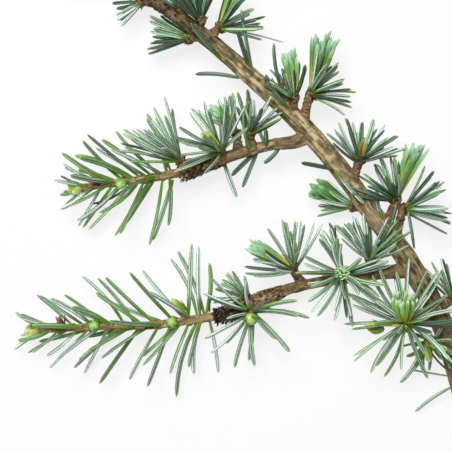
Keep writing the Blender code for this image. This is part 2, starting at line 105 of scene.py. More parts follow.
def across(axis: Array) -> tuple[Array, Array]:
    """Finds two unit vectors square to an axis, the second as near to straight up as it can be.

    Args:
        axis: One unit vector.

    Returns:
        The level one and the lifted one.
    """
    side = unit(np.cross(axis, UP)) if abs(axis[2]) < 0.99 else np.array((1.0, 0.0, 0.0))
    return side, np.cross(side, axis)


def turned(first: Array, second: Array, angle: float) -> Array:
    """Returns the first of two square directions, turned towards the second by an angle in radians."""
    return first * math.cos(angle) + second * math.sin(angle)


def circle(count: int) -> Array:
    """Returns angles set evenly once round, in radians."""
    return np.arange(count) * 2 * math.pi / count


def distances(route: Array) -> Array:
    """Returns how far along the route each of its points is."""
    return np.concatenate(([0.0], np.cumsum(np.linalg.norm(np.diff(route[:, :3], axis=0), axis=1))))


def resampled(route: Array, step: float) -> Array:
    """Puts points at about every step along a route.

    Args:
        route: Rows of x, y, z and radius.
        step: Wanted distance between points.

    Returns:
        The new rows.
    """
    walked = distances(route)
    marks = np.linspace(0.0, walked[-1], max(2, round(walked[-1] / step) + 1))
    return np.column_stack([np.interp(marks, walked, column) for column in route.T])


def smooth_route(rows: Rows, step: float) -> Array:
    """Draws a Catmull-Rom curve through rows: a + ((b - before) t + bow(t)) / 2 between rows a and b.

    Args:
        rows: x, y, z and radius from foot to tip.
        step: Distance between the points that come back.

    Returns:
        Points with radii.
    """
    known = np.array(rows)
    ends = np.vstack((2 * known[0] - known[1], known, 2 * known[-1] - known[-2]))
    t = np.arange(0.0, 1.0, 0.05)[:, None]
    fine = []
    for before, a, b, after in zip(ends, ends[1:], ends[2:], ends[3:]):
        bow = (2 * before - 5 * a + 4 * b - after) * t * t + (3 * a - before - 3 * b + after) * t**3
        fine.append(a + 0.5 * ((b - before) * t + bow))
    return resampled(np.vstack((*fine, known[-1:])), step)


def place_on(route: Array, at: float) -> tuple[Array, Array, float]:
    """Finds a place at a distance along a route.

    Args:
        route: Rows of x, y, z and radius.
        at: Distance from its foot.

    Returns:
        The point, the heading vector and the radius there.
    """
    walked = distances(route)
    here = np.array([np.interp(at, walked, column) for column in route.T])
    near = min(max(int(np.searchsorted(walked, at)), 1), len(route) - 1)
    return here[:3], unit(route[near, :3] - route[near - 1, :3]), here[3]


def noise(x: Array, y: Array, wraps: int, seed: int) -> Array:
    """Value noise of two parameters: random heights on a unit lattice, eased from one to the next.

    Args:
        x: First parameter, in lattice steps.
        y: Second parameter, in lattice steps, which comes round after wraps steps.
        wraps: Lattice steps once round.
        seed: Picks the heights.

    Returns:
        Heights from -1 to 1 in the shape of x and y together.
    """
    x, y = np.broadcast_arrays(x, y)
    first = int(math.floor(x.min()))
    span = int(math.ceil(x.max())) - first + 2
    heights = np.random.default_rng(seed).uniform(-1.0, 1.0, (span, wraps))
    i, j = np.floor(x).astype(int), np.floor(y).astype(int)
    s, t = x - i, y - j
    s, t = s * s * (3 - 2 * s), t * t * (3 - 2 * t)
    i, near, far = i - first, j % wraps, (j + 1) % wraps
    low = heights[i, near] * (1 - t) + heights[i, far] * t
    high = heights[i + 1, near] * (1 - t) + heights[i + 1, far] * t
    return low * (1 - s) + high * s


# Shader formulas


def linear(paint: Paint, strength: float = 1.0) -> tuple[float, float, float, float]:
    """Turns a paint of 0 to 255 into a shader colour.

    Args:
        paint: Red, green and blue as a screen shows them.
        strength: Multiplies the light it sends back.

    Returns:
        Linear red, green, blue and a full alpha.
    """
    shares = [value / 255.0 for value in paint]
    parts = [s / 12.92 if s <= 0.04045 else ((s + 0.055) / 1.055) ** 2.4 for s in shares]
    return (*(min(1.0, part * strength) for part in parts), 1.0)


def operator(operation: str, flipped: bool = False) -> Callable[["Level", "Level | float"], "Level"]:
    """Makes an operator of levels, which adds a Math node.

    Args:
        operation: Blender's name of what the node does.
        flipped: Whether the level comes second and the other first.

    Returns:
        The operator.
    """

    def work(level: "Level", other: "Level | float") -> "Level":
        """Returns the outcome for a level and another level or number."""
        first, second = (other, level) if flipped else (level, other)
        return level.recipe.math(operation, first, second)

    return work


class Level:
    """A number that varies over a surface, on which sums add Math nodes."""

    def __init__(self, recipe: "Recipe", socket: bpy.types.NodeSocket) -> None:
        """Wraps an output socket of the recipe's tree."""
        self.recipe = recipe
        self.socket = socket

    __add__, __radd__ = operator("ADD"), operator("ADD", flipped=True)
    __sub__, __rsub__ = operator("SUBTRACT"), operator("SUBTRACT", flipped=True)
    __mul__, __rmul__ = operator("MULTIPLY"), operator("MULTIPLY", flipped=True)

    def step(self, start: float, end: float) -> "Level":
        """Eases from 0 to 1.

        Args:
            start: Where it is still 0.
            end: Where it is 1.

        Returns:
            The eased level.
        """
        values = {"Value": self, "From Min": start, "From Max": end}
        eased = self.recipe.node("ShaderNodeMapRange", {"interpolation_type": "SMOOTHSTEP"}, values)
        return Level(self.recipe, eased.outputs["Result"])


class Recipe:
    """One material in the making: a Principled shader and the nodes that feed it."""

    def __init__(self, name: str, roughness: float, gloss: float = 0.5) -> None:
        """Starts a material.

        Args:
            name: Name of the material.
            roughness: Of the whole surface, until a pattern is joined to it.
            gloss: The shader's specular level.
        """
        self.material = bpy.data.materials.new(name)
        self.material.use_nodes = True
        self.tree = self.material.node_tree
        self.surface = self.tree.nodes["Principled BSDF"]
        self.surface.inputs["Roughness"].default_value = roughness
        self.surface.inputs["Specular IOR Level"].default_value = gloss

    def node(self, kind: str, settings: dict[str, Any], values: dict[Any, Any]) -> bpy.types.Node:
        """Adds any node.

        Args:
            kind: Blender's type of node.
            settings: Properties to set before its sockets.
            values: Numbers, colours, levels or sockets for its inputs.

        Returns:
            The node.
        """
        made = self.tree.nodes.new(kind)
        for key, value in settings.items():
            setattr(made, key, value)
        for key, value in values.items():
            socket = made.inputs[key]
            if isinstance(value, Level):
                self.tree.links.new(value.socket, socket)
            elif isinstance(value, bpy.types.NodeSocket):
                self.tree.links.new(value, socket)
            else:
                socket.default_value = value
        return made

    def math(self, operation: str, first: Level | float, second: Level | float = 0.0) -> Level:
        """Returns the outcome of a Math node."""
        made = self.node("ShaderNodeMath", {"operation": operation}, {0: first, 1: second})
        return Level(self, made.outputs[0])

    def mix(self, share: Level | float, first: Any, second: Any) -> bpy.types.NodeSocket:
        """Returns the colour that is the second by this share and the first by the rest."""
        made = self.node("ShaderNodeMix", {"data_type": "RGBA"}, {0: share, 6: first, 7: second})
        return made.outputs[2]

    def field(self, name: str) -> Level:
        """Returns an attribute of the mesh as a level."""
        made = self.node("ShaderNodeAttribute", {"attribute_name": name}, {})
        return Level(self, made.outputs["Fac"])

    def along(self) -> tuple[Level, Level]:
        """Reads the place on a blade from its map.

        Returns:
            The place round it and the place along it, each from 0 to 1.
        """
        place = self.node("ShaderNodeUVMap", {"uv_map": ALONG_MAP}, {})
        split = self.node("ShaderNodeSeparateXYZ", {}, {0: place.outputs["UV"]})
        return Level(self, split.outputs["X"]), Level(self, split.outputs["Y"])

    def grain(self, size: float, detail: float = 3.0, rough: float = 0.55) -> Level:
        """Adds noise in the object's own space.

        Args:
            size: Length of one bump in millimetres.
            detail: Octaves.
            rough: Weight of each finer octave.

        Returns:
            The noise, from 0 to 1 about 0.5.
        """
        place = self.node("ShaderNodeTexCoord", {}, {})
        values = {"Vector": place.outputs["Object"], "Scale": 1.0 / (size * MM)}
        made = self.node("ShaderNodeTexNoise", {}, {**values, "Detail": detail, "Roughness": rough})
        return Level(self, made.outputs["Fac"])

    def colour(self, socket: bpy.types.NodeSocket) -> None:
        """Joins a colour to the surface."""
        self.tree.links.new(socket, self.surface.inputs["Base Color"])

    def rough(self, level: Level) -> None:
        """Joins a level to the roughness."""
        self.tree.links.new(level.socket, self.surface.inputs["Roughness"])

    def bump(self, height: Level, depth: float, strength: float = 1.0) -> None:
        """Raises the surface in light and shade.

        Args:
            height: From 0 to 1.
            depth: Millimetres between the two.
            strength: Share of the effect.
        """
        values = {"Height": height, "Distance": depth * MM, "Strength": strength}
        made = self.node("ShaderNodeBump", {}, values)
        self.tree.links.new(made.outputs["Normal"], self.surface.inputs["Normal"])


@dataclass(frozen=True)
class NeedleFinish:
    """Colours of a needle: green body, pale rows of wax down the middle of each face, base and tip."""

    name: str
    base: Paint
    body: Paint
    wax: Paint
    tip: Paint
    wax_share: float = 0.75
    base_end: float = 0.22
    tip_start: float = 0.93
    roughness: float = 0.42

    def material(self) -> bpy.types.Material:
        """Builds the material: wax is 1 in the middle of a face, and base and tip fade in along the needle.

        Returns:
            The material.
        """
        recipe = Recipe(self.name, self.roughness)
        round_it, share = recipe.along()
        tone = recipe.field("tone")
        face = recipe.math("FRACT", round_it * 4.0)
        middle = 1.0 - recipe.math("ABSOLUTE", face * 2.0 - 1.0)
        speckle = recipe.grain(0.42, 2.0)
        wax = middle.step(0.18, 0.62) * (0.10 + 1.9 * speckle) * (0.5 + 0.85 * tone) * self.wax_share
        wax = wax * share.step(self.base_end * 0.5, self.base_end * 1.8)
        body = recipe.mix(tone, linear(self.body, 0.44), linear(self.body, 1.15))
        waxed = recipe.mix(wax, body, linear(self.wax))
        based = recipe.mix(share.step(0.02, self.base_end * 1.6), linear(self.base), waxed)
        recipe.colour(recipe.mix(share.step(self.tip_start, 1.0), based, linear(self.tip)))
        recipe.rough(self.roughness + 0.25 * (speckle - 0.5) + 0.08 * middle)
        recipe.bump(middle * 0.5 + speckle * 0.5, 0.06, 0.6)
        return recipe.material


@dataclass(frozen=True)
class BarkFinish:
    """Colours of bark by its relief: cracks, flat and ridges, with patches and scars."""

    name: str
    crack: Paint
    flat: Paint
    ridge: Paint
    patch: Paint
    scar: Paint
    roughness: float = 0.78
    grain: float = 0.7

    def material(self) -> bpy.types.Material:
        """Builds the material from the mesh's relief, patch and scar fields and grain in its own space.

        Returns:
            The material.
        """
        recipe = Recipe(self.name, self.roughness, 0.35)
        relief, patch, scar = recipe.field("relief"), recipe.field("patch"), recipe.field("scar")
        coarse, fine = recipe.grain(self.grain * 3.0), recipe.grain(self.grain * 0.5, 4.0, 0.6)
        height = relief + 0.5 * (coarse - 0.5) + 0.45 * (fine - 0.5)
        low = recipe.mix(height.step(0.10, 0.52), linear(self.crack), linear(self.flat))
        high = recipe.mix(height.step(0.45, 0.85), low, linear(self.ridge))
        patched = recipe.mix((patch + 0.6 * (coarse - 0.5)).step(0.42, 0.85) * 0.6, high, linear(self.patch))
        recipe.colour(recipe.mix(scar.step(0.25, 0.8) * 0.8, patched, linear(self.scar)))
        recipe.rough(self.roughness + 0.2 * (0.5 - height))
        recipe.bump(height * 0.6 + fine * 0.4, 0.14, 0.8)
        return recipe.material


@dataclass(frozen=True)
class ScaleFinish:
    """Colours of a papery scale from its base to its edge."""

    name: str
    base: Paint
    edge: Paint
    roughness: float = 0.68
    edge_start: float = 0.35

    def material(self) -> bpy.types.Material:
        """Builds the material: base to edge along the scale, lighter or darker by the tone of each.

        Returns:
            The material.
        """
        recipe = Recipe(self.name, self.roughness, 0.3)
        _, share = recipe.along()
        tone, fibre = recipe.field("tone"), recipe.grain(0.3, 3.0)
        spread = (share + 0.5 * (fibre - 0.5)).step(self.edge_start, 1.0)
        near = recipe.mix(tone, linear(self.base, 0.6), linear(self.base, 1.25))
        far = recipe.mix(tone, linear(self.edge, 0.7), linear(self.edge, 1.15))
        recipe.colour(recipe.mix(spread, near, far))
        recipe.rough(self.roughness + 0.3 * (fibre - 0.5))
        recipe.bump(fibre, 0.08, 0.7)
        return recipe.material


@dataclass(frozen=True)
class WoodFinish:
    """The cut end: pale rings with a darker middle."""

    name: str
    pale: Paint
    ring: Paint
    pith: Paint
    roughness: float = 0.7

    def material(self) -> bpy.types.Material:
        """Builds the material: growth rings are a sine of the place along the cap's profile.

        Returns:
            The material.
        """
        recipe = Recipe(self.name, self.roughness, 0.3)
        relief, fine = recipe.field("relief"), recipe.grain(0.25, 4.0, 0.6)
        rings = recipe.math("SINE", relief * 40.0 + fine * 2.0) * 0.5 + 0.5
        wood = recipe.mix(rings * 0.8, linear(self.pale), linear(self.ring))
        recipe.colour(recipe.mix(relief.step(0.0, 0.18), linear(self.pith), wood))
        recipe.bump(rings * 0.5 + fine * 0.5, 0.05, 0.6)
        return recipe.material


class Sort(Enum):
    """The sorts of needle."""

    MATURE = NeedleFinish(
        "needle_mature", (108, 146, 40), (74, 112, 40), (192, 222, 194), (156, 178, 106), 0.80
    )
    BLUE = NeedleFinish("needle_blue", (112, 148, 56), (84, 124, 68), (226, 244, 236), (166, 190, 134), 0.94)
    GRASS = NeedleFinish(
        "needle_grass", (106, 150, 32), (90, 130, 46), (166, 204, 150), (190, 196, 80), 0.60, 0.30
    )
    DEEP = NeedleFinish("needle_deep", (80, 106, 34), (46, 70, 32), (120, 152, 130), (116, 136, 80), 0.60)
    FRESH = NeedleFinish(
        "needle_fresh", (140, 178, 50), (72, 126, 46), (112, 164, 96), (134, 178, 128), 0.45, 0.34, 0.80
    )
    NEW = NeedleFinish(
        "needle_new", (214, 204, 66), (112, 168, 68), (160, 202, 140), (170, 208, 174), 0.50, 0.42, 0.72
    )
    BRIGHT = NeedleFinish(
        "needle_bright", (222, 186, 70), (136, 204, 84), (204, 240, 168), (236, 250, 218), 0.55, 0.46, 0.80
    )
    LIME = NeedleFinish(
        "needle_lime", (150, 118, 40), (142, 180, 62), (190, 214, 130), (206, 220, 140), 0.5, 0.20, 0.80
    )
    PALE = NeedleFinish(
        "needle_pale", (116, 160, 56), (136, 206, 76), (196, 236, 150), (240, 250, 222), 0.3, 0.24, 0.74
    )
    BRUSH = NeedleFinish(
        "needle_brush", (172, 114, 44), (226, 206, 110), (226, 216, 140), (196, 206, 150), 0.4, 0.50, 0.74
    )
    YELLOW = NeedleFinish(
        "needle_yellow", (206, 186, 78), (204, 196, 100), (216, 212, 140), (130, 158, 84), 0.3
    )
    DEAD = NeedleFinish("needle_dead", (92, 68, 42), (96, 74, 50), (130, 106, 80), (82, 60, 38), 0.2)
    THREAD = NeedleFinish(
        "needle_thread", (150, 172, 130), (160, 188, 158), (196, 216, 198), (180, 200, 176), 0.6
    )


class ScaleSort(Enum):
    """The sorts of scale."""

    BROWN = ScaleFinish("scale_brown", (84, 60, 38), (140, 110, 76))
    UMBER = ScaleFinish("scale_umber", (54, 40, 26), (104, 78, 50), 0.8)
    DARK = ScaleFinish("scale_dark", (30, 25, 20), (58, 46, 34), 0.85)
    TAN = ScaleFinish("scale_tan", (150, 108, 62), (202, 168, 116))
    COPPER = ScaleFinish("scale_copper", (88, 58, 36), (158, 116, 78), 0.6)
    BUD = ScaleFinish("scale_bud", (184, 190, 112), (234, 226, 184), 0.5, 0.40)
    GREEN = ScaleFinish("scale_green", (120, 164, 62), (170, 202, 118), 0.42, 0.55)
    LIME = ScaleFinish("scale_lime", (142, 176, 68), (186, 202, 106), 0.42, 0.5)
    OLIVE = ScaleFinish("scale_olive", (136, 146, 62), (176, 176, 96), 0.5, 0.5)
    CUSHION = ScaleFinish("scale_cushion", (126, 98, 62), (174, 142, 100), 0.66, 0.3)


class BarkSort(Enum):
    """The sorts of bark."""

    STEM = BarkFinish(
        "bark_stem", (50, 42, 22), (112, 100, 62), (198, 180, 140), (160, 134, 106), (78, 60, 36), 0.74, 0.5
    )
    SHOOT = BarkFinish(
        "bark_shoot", (48, 38, 24), (112, 94, 66), (174, 152, 116), (136, 110, 82), (76, 58, 38), 0.8, 0.5
    )
    TWIG = BarkFinish(
        "bark_twig", (80, 62, 38), (138, 118, 80), (190, 166, 124), (158, 124, 88), (100, 76, 46), 0.7, 0.45
    )
    SPUR = BarkFinish(
        "bark_spur", (50, 40, 26), (112, 92, 62), (166, 142, 104), (126, 100, 72), (76, 56, 36), 0.82, 0.35
    )


CUT_WOOD = WoodFinish("cut_wood", (214, 194, 150), (186, 158, 110), (132, 98, 60))


# Surfaces and meshes


@dataclass
class Tubes:
    """Equal closed tubes: rings of points between two poles.

    rings has the shape (tubes, rings, sides, 3) and poles (tubes, 2, 3). shares says how far along each ring
    is, poles included. fields are numbers for every point in the shape (tubes, rings * sides + 2).
    """

    rings: Array
    poles: Array
    shares: Array
    finish: Array
    fields: dict[str, Array]

    def points(self) -> Array:
        """Returns the points of each tube, its rings first and then its poles."""
        count = len(self.rings)
        return np.concatenate((self.rings.reshape(count, -1, 3), self.poles), axis=1)

    def weight(self) -> tuple[float, float, float]:
        """Measures the tubes, to deal out their share of the map.

        Returns:
            How many tubes there are, and the length and girth of one.
        """
        middles = self.rings.mean(axis=2)
        long = np.linalg.norm(np.diff(middles, axis=1), axis=2).sum(axis=1).mean() + 1e-6
        steps = self.rings - np.roll(self.rings, 1, axis=2)
        girth = np.linalg.norm(steps, axis=3).sum(axis=2).mean() + 1e-6
        return float(len(self.rings)), float(long), float(girth)


class Shell:
    """Tubes of several kinds that make up one piece."""

    def __init__(self) -> None:
        """Starts with no tubes and no finishes."""
        self.parts: list[Tubes] = []
        self.finishes: list[Any] = []

    def finish_index(self, finish: Any) -> int:
        """Finds a finish in the list, which it joins if it is new.

        Args:
            finish: The finish.

        Returns:
            Its place in the list.
        """
        if finish not in self.finishes:
            self.finishes.append(finish)
        return self.finishes.index(finish)

    def add(self, tubes: Tubes) -> None:
        """Adds tubes to the piece."""
        self.parts.append(tubes)

    def carry(self, blade: "Blade", lines: Iterable["Line"]) -> None:
        """Adds a blade along each line."""
        self.add(blade.tubes(Growth.of(list(lines), self)))

    def cells(self) -> Iterator[tuple[Array, Array]]:
        """Deals the unit square out to the tubes: one band for each kind, and one cell for each tube.

        Yields:
            For each kind of tube, its cells' lowest corners and their one size.
        """
        sizes = [part.weight() for part in self.parts]
        areas = [count * long * girth for count, long, girth in sizes]
        bottom = 0.0
        for (count, long, girth), area in zip(sizes, areas):
            height = area / sum(areas)
            rows = max(1, round(math.sqrt(count * height * girth / long)))
            columns = math.ceil(count / rows)
            cell = np.array((1.0 / columns, height / rows))
            index = np.arange(int(count))
            corners = np.column_stack((index % columns, index // columns)) * cell
            margin = CELL_MARGIN * cell.min()
            yield corners + (0.0, bottom) + margin, cell - 2 * margin
            bottom += height

    def make(self, name: str, shift: Array) -> bpy.types.Object:
        """Makes one object of all the tubes, with its maps, fields and materials.

        Args:
            name: Name of the piece.
            shift: Moves the layout into the frame, in millimetres.

        Returns:
            The object.
        """
        points, corners, starts, finishes, along, bake = [], [], [], [], [], []
        keys = sorted({key for part in self.parts for key in part.fields})
        fields: dict[str, list[Array]] = {key: [] for key in keys}
        offset = loops = 0
        for part, (low, size) in zip(self.parts, self.cells()):
            count, rings, sides = part.rings.shape[:3]
            ids, uv, lengths = tube_faces(rings, sides)
            each = rings * sides + 2
            shift_ids = offset + np.arange(count)[:, None] * each
            corners.append((shift_ids + ids[None]).ravel())
            face_starts = np.concatenate(([0], np.cumsum(lengths)[:-1]))
            starts.append((loops + np.arange(count)[:, None] * len(ids) + face_starts[None]).ravel())
            finishes.append(np.repeat(part.finish, len(lengths)))
            row = np.round(uv[:, 1]).astype(int)
            along.append(np.tile(np.column_stack((uv[:, 0], part.shares[row])), (count, 1)))
            place = uv / (1.0, rings + 1.0)
            bake.append((low[:, None] + place[None] * size).reshape(-1, 2))
            points.append(part.points().reshape(-1, 3))
            for key in keys:
                fields[key].append(part.fields.get(key, np.zeros((count, each))).ravel())
            offset += count * each
            loops += count * len(ids)
        mesh = bpy.data.meshes.new(name)
        mesh.vertices.add(offset)
        placed = (np.vstack(points) + shift) * MM
        placed[:, 2] = np.maximum(placed[:, 2], 0.0)
        mesh.vertices.foreach_set("co", placed.astype(np.float32).ravel())
        mesh.loops.add(loops)
        mesh.loops.foreach_set("vertex_index", np.concatenate(corners).astype(np.int32))
        mesh.polygons.add(sum(len(part) for part in starts))
        mesh.polygons.foreach_set("loop_start", np.concatenate(starts).astype(np.int32))
        mesh.polygons.foreach_set("material_index", np.concatenate(finishes).astype(np.int32))
        for key, maps in ((ALONG_MAP, along), (BAKE_MAP, bake)):
            layer = mesh.uv_layers.new(name=key)
            layer.uv.foreach_set("vector", np.vstack(maps).astype(np.float32).ravel())
        for key, values in fields.items():
            layer = mesh.attributes.new(key, "FLOAT", "POINT")
            layer.data.foreach_set("value", np.concatenate(values).astype(np.float32))
        for finish in self.finishes:
            mesh.materials.append(worn(finish))
        mesh.update(calc_edges=True)
        mesh.validate()
        mesh.shade_smooth()
        mesh.set_sharp_from_angle(angle=SHARP_ANGLE)
        made = bpy.data.objects.new(name, mesh)
        bpy.context.scene.collection.objects.link(made)
        return made


MATERIALS: dict[str, bpy.types.Material] = {}


def worn(finish: Any) -> bpy.types.Material:
    """Finds the one material of a finish, which is built when it is first asked for.

    Args:
        finish: The finish.

    Returns:
        Its material.
    """
    if finish.name not in MATERIALS:
        MATERIALS[finish.name] = finish.material()
    return MATERIALS[finish.name]


def tube_faces(rings: int, sides: int) -> tuple[Array, Array, Array]:
    """Lists the faces of one closed tube: quads between rings and triangles round both poles.

    Args:
        rings: Rings of points.
        sides: Points in a ring.

    Returns:
        The point of each corner, its place round the tube and its row counted from the first pole, and the
        number of corners of each face.
    """
    i, j = np.meshgrid(np.arange(rings - 1), np.arange(sides), indexing="ij")
    i, j = i.ravel(), j.ravel()
    k = (j + 1) % sides
    quads = np.stack((i * sides + j, (i + 1) * sides + j, (i + 1) * sides + k, i * sides + k), axis=1)
    left, right = j / sides, (j + 1) / sides
    quad_u = np.stack((left, left, right, right), axis=1)
    quad_v = np.stack((i + 1, i + 2, i + 2, i + 1), axis=1)
    j = np.arange(sides)
    k = (j + 1) % sides
    first, last = np.full(sides, rings * sides), np.full(sides, rings * sides + 1)
    top = (rings - 1) * sides
    caps = np.concatenate((np.stack((first, j, k), axis=1), np.stack((last, top + k, top + j), axis=1)))
    left, right, middle = j / sides, (j + 1) / sides, (j + 0.5) / sides
    cap_u = np.concatenate((np.stack((middle, left, right), axis=1), np.stack((middle, right, left), axis=1)))
    low = np.tile((0.0, 1.0, 1.0), (sides, 1))
    high = np.tile((rings + 1.0, rings, rings), (sides, 1))
    ids = np.concatenate((quads.ravel(), caps.ravel()))
    u = np.concatenate((quad_u.ravel(), cap_u.ravel()))
    v = np.concatenate((quad_v.ravel(), low.ravel(), high.ravel()))
    return ids, np.column_stack((u, v)), np.concatenate((np.full(len(quads), 4), np.full(len(caps), 3)))


@dataclass(frozen=True)
class Blade:
    """Outline of a needle or scale: its width and depth at shares of its length, with a pole at each end."""

    shares: tuple[float, ...]
    widths: tuple[float, ...]
    half_width: float
    half_depth: float
    sides: int = 4

    def tubes(self, growth: "Growth") -> Tubes:
        """Carries the outline along every line of a growth.

        The surface is line(t) + side * width(t) * cos(a) + lift * depth(t) * sin(a), with a going round, and
        line(t) = root + t * length * aim + t * t * curl.

        Args:
            growth: The lines.

        Returns:
            One tube for each line.
        """
        t = np.array(self.shares)[None, :, None]
        aim, curl = growth.aims[:, None], growth.curls[:, None]
        long = growth.lengths[:, None, None]
        line = growth.roots[:, None] + t * long * aim + t * t * curl
        heading = unit(long * aim + 2 * t * curl)
        side = unit(np.cross(heading, growth.ups[:, None]))
        lift = np.cross(side, heading)
        turn = circle(self.sides)
        width = np.array(self.widths)[None, :, None, None] * growth.sizes[:, None, None, None]
        ring = side[:, 1:-1, None] * np.cos(turn)[None, None, :, None] * self.half_width
        ring = ring + lift[:, 1:-1, None] * np.sin(turn)[None, None, :, None] * self.half_depth
        rings = line[:, 1:-1, None] + ring * width
        each = rings.shape[1] * rings.shape[2] + 2
        tone = np.repeat(growth.tones[:, None], each, axis=1)
        return Tubes(rings, line[:, (0, -1)], np.array(self.shares), growth.finish, {"tone": tone})


NEEDLE = Blade(
    (0.0, 0.03, 0.12, 0.32, 0.54, 0.74, 0.88, 0.96, 1.0), (0.62, 0.86, 1.0, 1.02, 1.0, 0.92, 0.62), 0.70, 0.50
)
NEW_NEEDLE = Blade(
    (0.0, 0.03, 0.14, 0.34, 0.54, 0.72, 0.86, 0.95, 1.0),
    (0.42, 0.52, 0.74, 0.96, 1.08, 1.06, 0.70),
    0.84,
    0.36,
)
SCALE = Blade((0.0, 0.08, 0.3, 0.55, 0.8, 1.0), (0.7, 1.0, 0.95, 0.55), 0.62, 0.14, 6)
BUD_SCALE = Blade((0.0, 0.06, 0.25, 0.5, 0.75, 0.92, 1.0), (0.6, 0.95, 1.0, 0.8, 0.4), 0.95, 0.2, 6)
CUSHION = Blade((0.0, 0.1, 0.35, 0.65, 0.9, 1.0), (0.35, 0.8, 1.0, 0.7), 0.42, 0.30, 6)


@dataclass
class Growth:
    """Lines that blades are carried along, one row for each."""

    roots: Array
    aims: Array
    lengths: Array
    curls: Array
    ups: Array
    sizes: Array
    tones: Array
    finish: Array

    @classmethod
    def of(cls, rows: Sequence["Line"], shell: Shell) -> "Growth":
        """Collects lines, and enters their finishes in the shell.

        Args:
            rows: The lines.
            shell: The piece that they will be in.

        Returns:
            The growth.
        """
        keys = ("root", "aim", "length", "curl", "up", "size", "tone")
        columns = (np.array([getattr(row, key) for row in rows], float) for key in keys)
        return cls(*columns, np.array([shell.finish_index(row.finish) for row in rows]))


@dataclass
class Line:
    """The middle line of one blade, its upper side, and the finish it wears."""

    root: Array
    aim: Array
    length: float
    curl: Array
    up: Array
    size: float
    tone: float
    finish: Any


# Where the needles go


@dataclass(frozen=True)
class Needle:
    """A needle along root + t * length * aim + t * t * curl, with t from 0 to 1."""

    root: Array
    aim: Array
    length: float
    curl: Array

    def points(self, shares: Array) -> Array:
        """Returns the points at these shares of the needle."""
        t = np.asarray(shares)[:, None]
        return self.root + t * self.length * self.aim + t**2 * self.curl

    def pressed(self, clear: float = 0.45) -> "Needle":
        """Turns the needle up, if it has to be, until its tip is just clear of the surface it lies on.

        Args:
            clear: Height of the tip.

        Returns:
            The needle, or one that is turned.
        """
        lowest = (clear - self.root[2] - self.curl[2]) / self.length
        if self.aim[2] >= lowest:
            return self
        level = self.aim * (1.0, 1.0, 0.0) + (1e-4, 0.0, 0.0)
        aim = unit(unit(level) * math.sqrt(max(0.0, 1.0 - lowest**2)) + UP * lowest)
        return Needle(self.root, aim, self.length, self.curl)


@dataclass(frozen=True)
class Spur:
    """A short shoot: its place on a limb, its peg, and the rosette of needles on its head.

    A heading runs from +X towards +Y and a rise from level. face is the heading and rise of the rosette, and
    spread the angle between its axis and its outermost needles.
    """

    name: str
    limb: str
    at: float
    heading: float
    rise: float
    peg: float
    face: tuple[float, float]
    spread: float
    needles: int
    reach: float
    inner: float = 24.0
    root_depth: float = 1.1
    axis_share: float = 0.84
    tilt_shake: float = 6.0
    turn_shake: float = 14.0
    lengths: tuple[float, float] = (0.86, 1.06)
    curls: tuple[float, float] = (0.02, 0.16)
    foot_radius: float = 1.44
    neck: float = 0.45
    neck_radius: float = 1.15
    head_radius: float = 1.45
    bud_length: float = 2.4
    bud: tuple[tuple[float, float], ...] = ((0.45, 0.85), (0.85, 0.55), (1.0, 0.20))

    def route(self, limbs: dict[str, Array]) -> tuple[Array, Array]:
        """Draws the peg from the middle of its limb to the head, and on to the end of the bud.

        Args:
            limbs: The routes of the limbs.

        Returns:
            The points with radii, and the head.
        """
        foot, _, thick = place_on(limbs[self.limb], self.at)
        aim, face = direction(self.heading, self.rise), direction(*self.face)
        neck = foot + aim * (thick + self.neck * self.peg)
        head = foot + aim * (thick + self.peg)
        peg = [(*foot, self.foot_radius), (*neck, self.neck_radius), (*head, self.head_radius)]
        bud = [(*(head + face * self.bud_length * far), self.head_radius * wide) for far, wide in self.bud]
        return np.array(peg + bud), head

    def needle(self, head: Array, index: int, attempt: int) -> Needle:
        """Grows one needle of the rosette, dealt evenly over the dome round its axis by the golden angle.

        Args:
            head: Where the rosette sits.
            index: Which needle.
            attempt: Which try at it.

        Returns:
            The needle.
        """
        chance = random.Random(f"{self.name} {index} {attempt}")
        axis = direction(*self.face)
        side, lift = across(axis)
        share = (index + 0.5) / self.needles
        inner, outer = math.cos(math.radians(self.inner)), math.cos(math.radians(self.spread))
        tilt = math.acos(inner * (1 - share) + outer * share)
        tilt += math.radians(chance.uniform(-1.0, 1.0) * self.tilt_shake)
        shake = chance.uniform(-1.0, 1.0) * self.turn_shake * (1 + attempt)
        turn = math.radians(index * GOLDEN_ANGLE + shake)
        outward = turned(side, lift, turn)
        aim = turned(axis, outward, tilt)
        dome = self.axis_share + (1 - self.axis_share) * math.sin(tilt)
        length = self.reach * dome * chance.uniform(*self.lengths)
        curl = (axis - aim * math.cos(tilt)) * length * chance.uniform(*self.curls)
        root = head - direction(self.heading, self.rise) * self.root_depth * share
        return Needle(root, aim, length, curl).pressed()


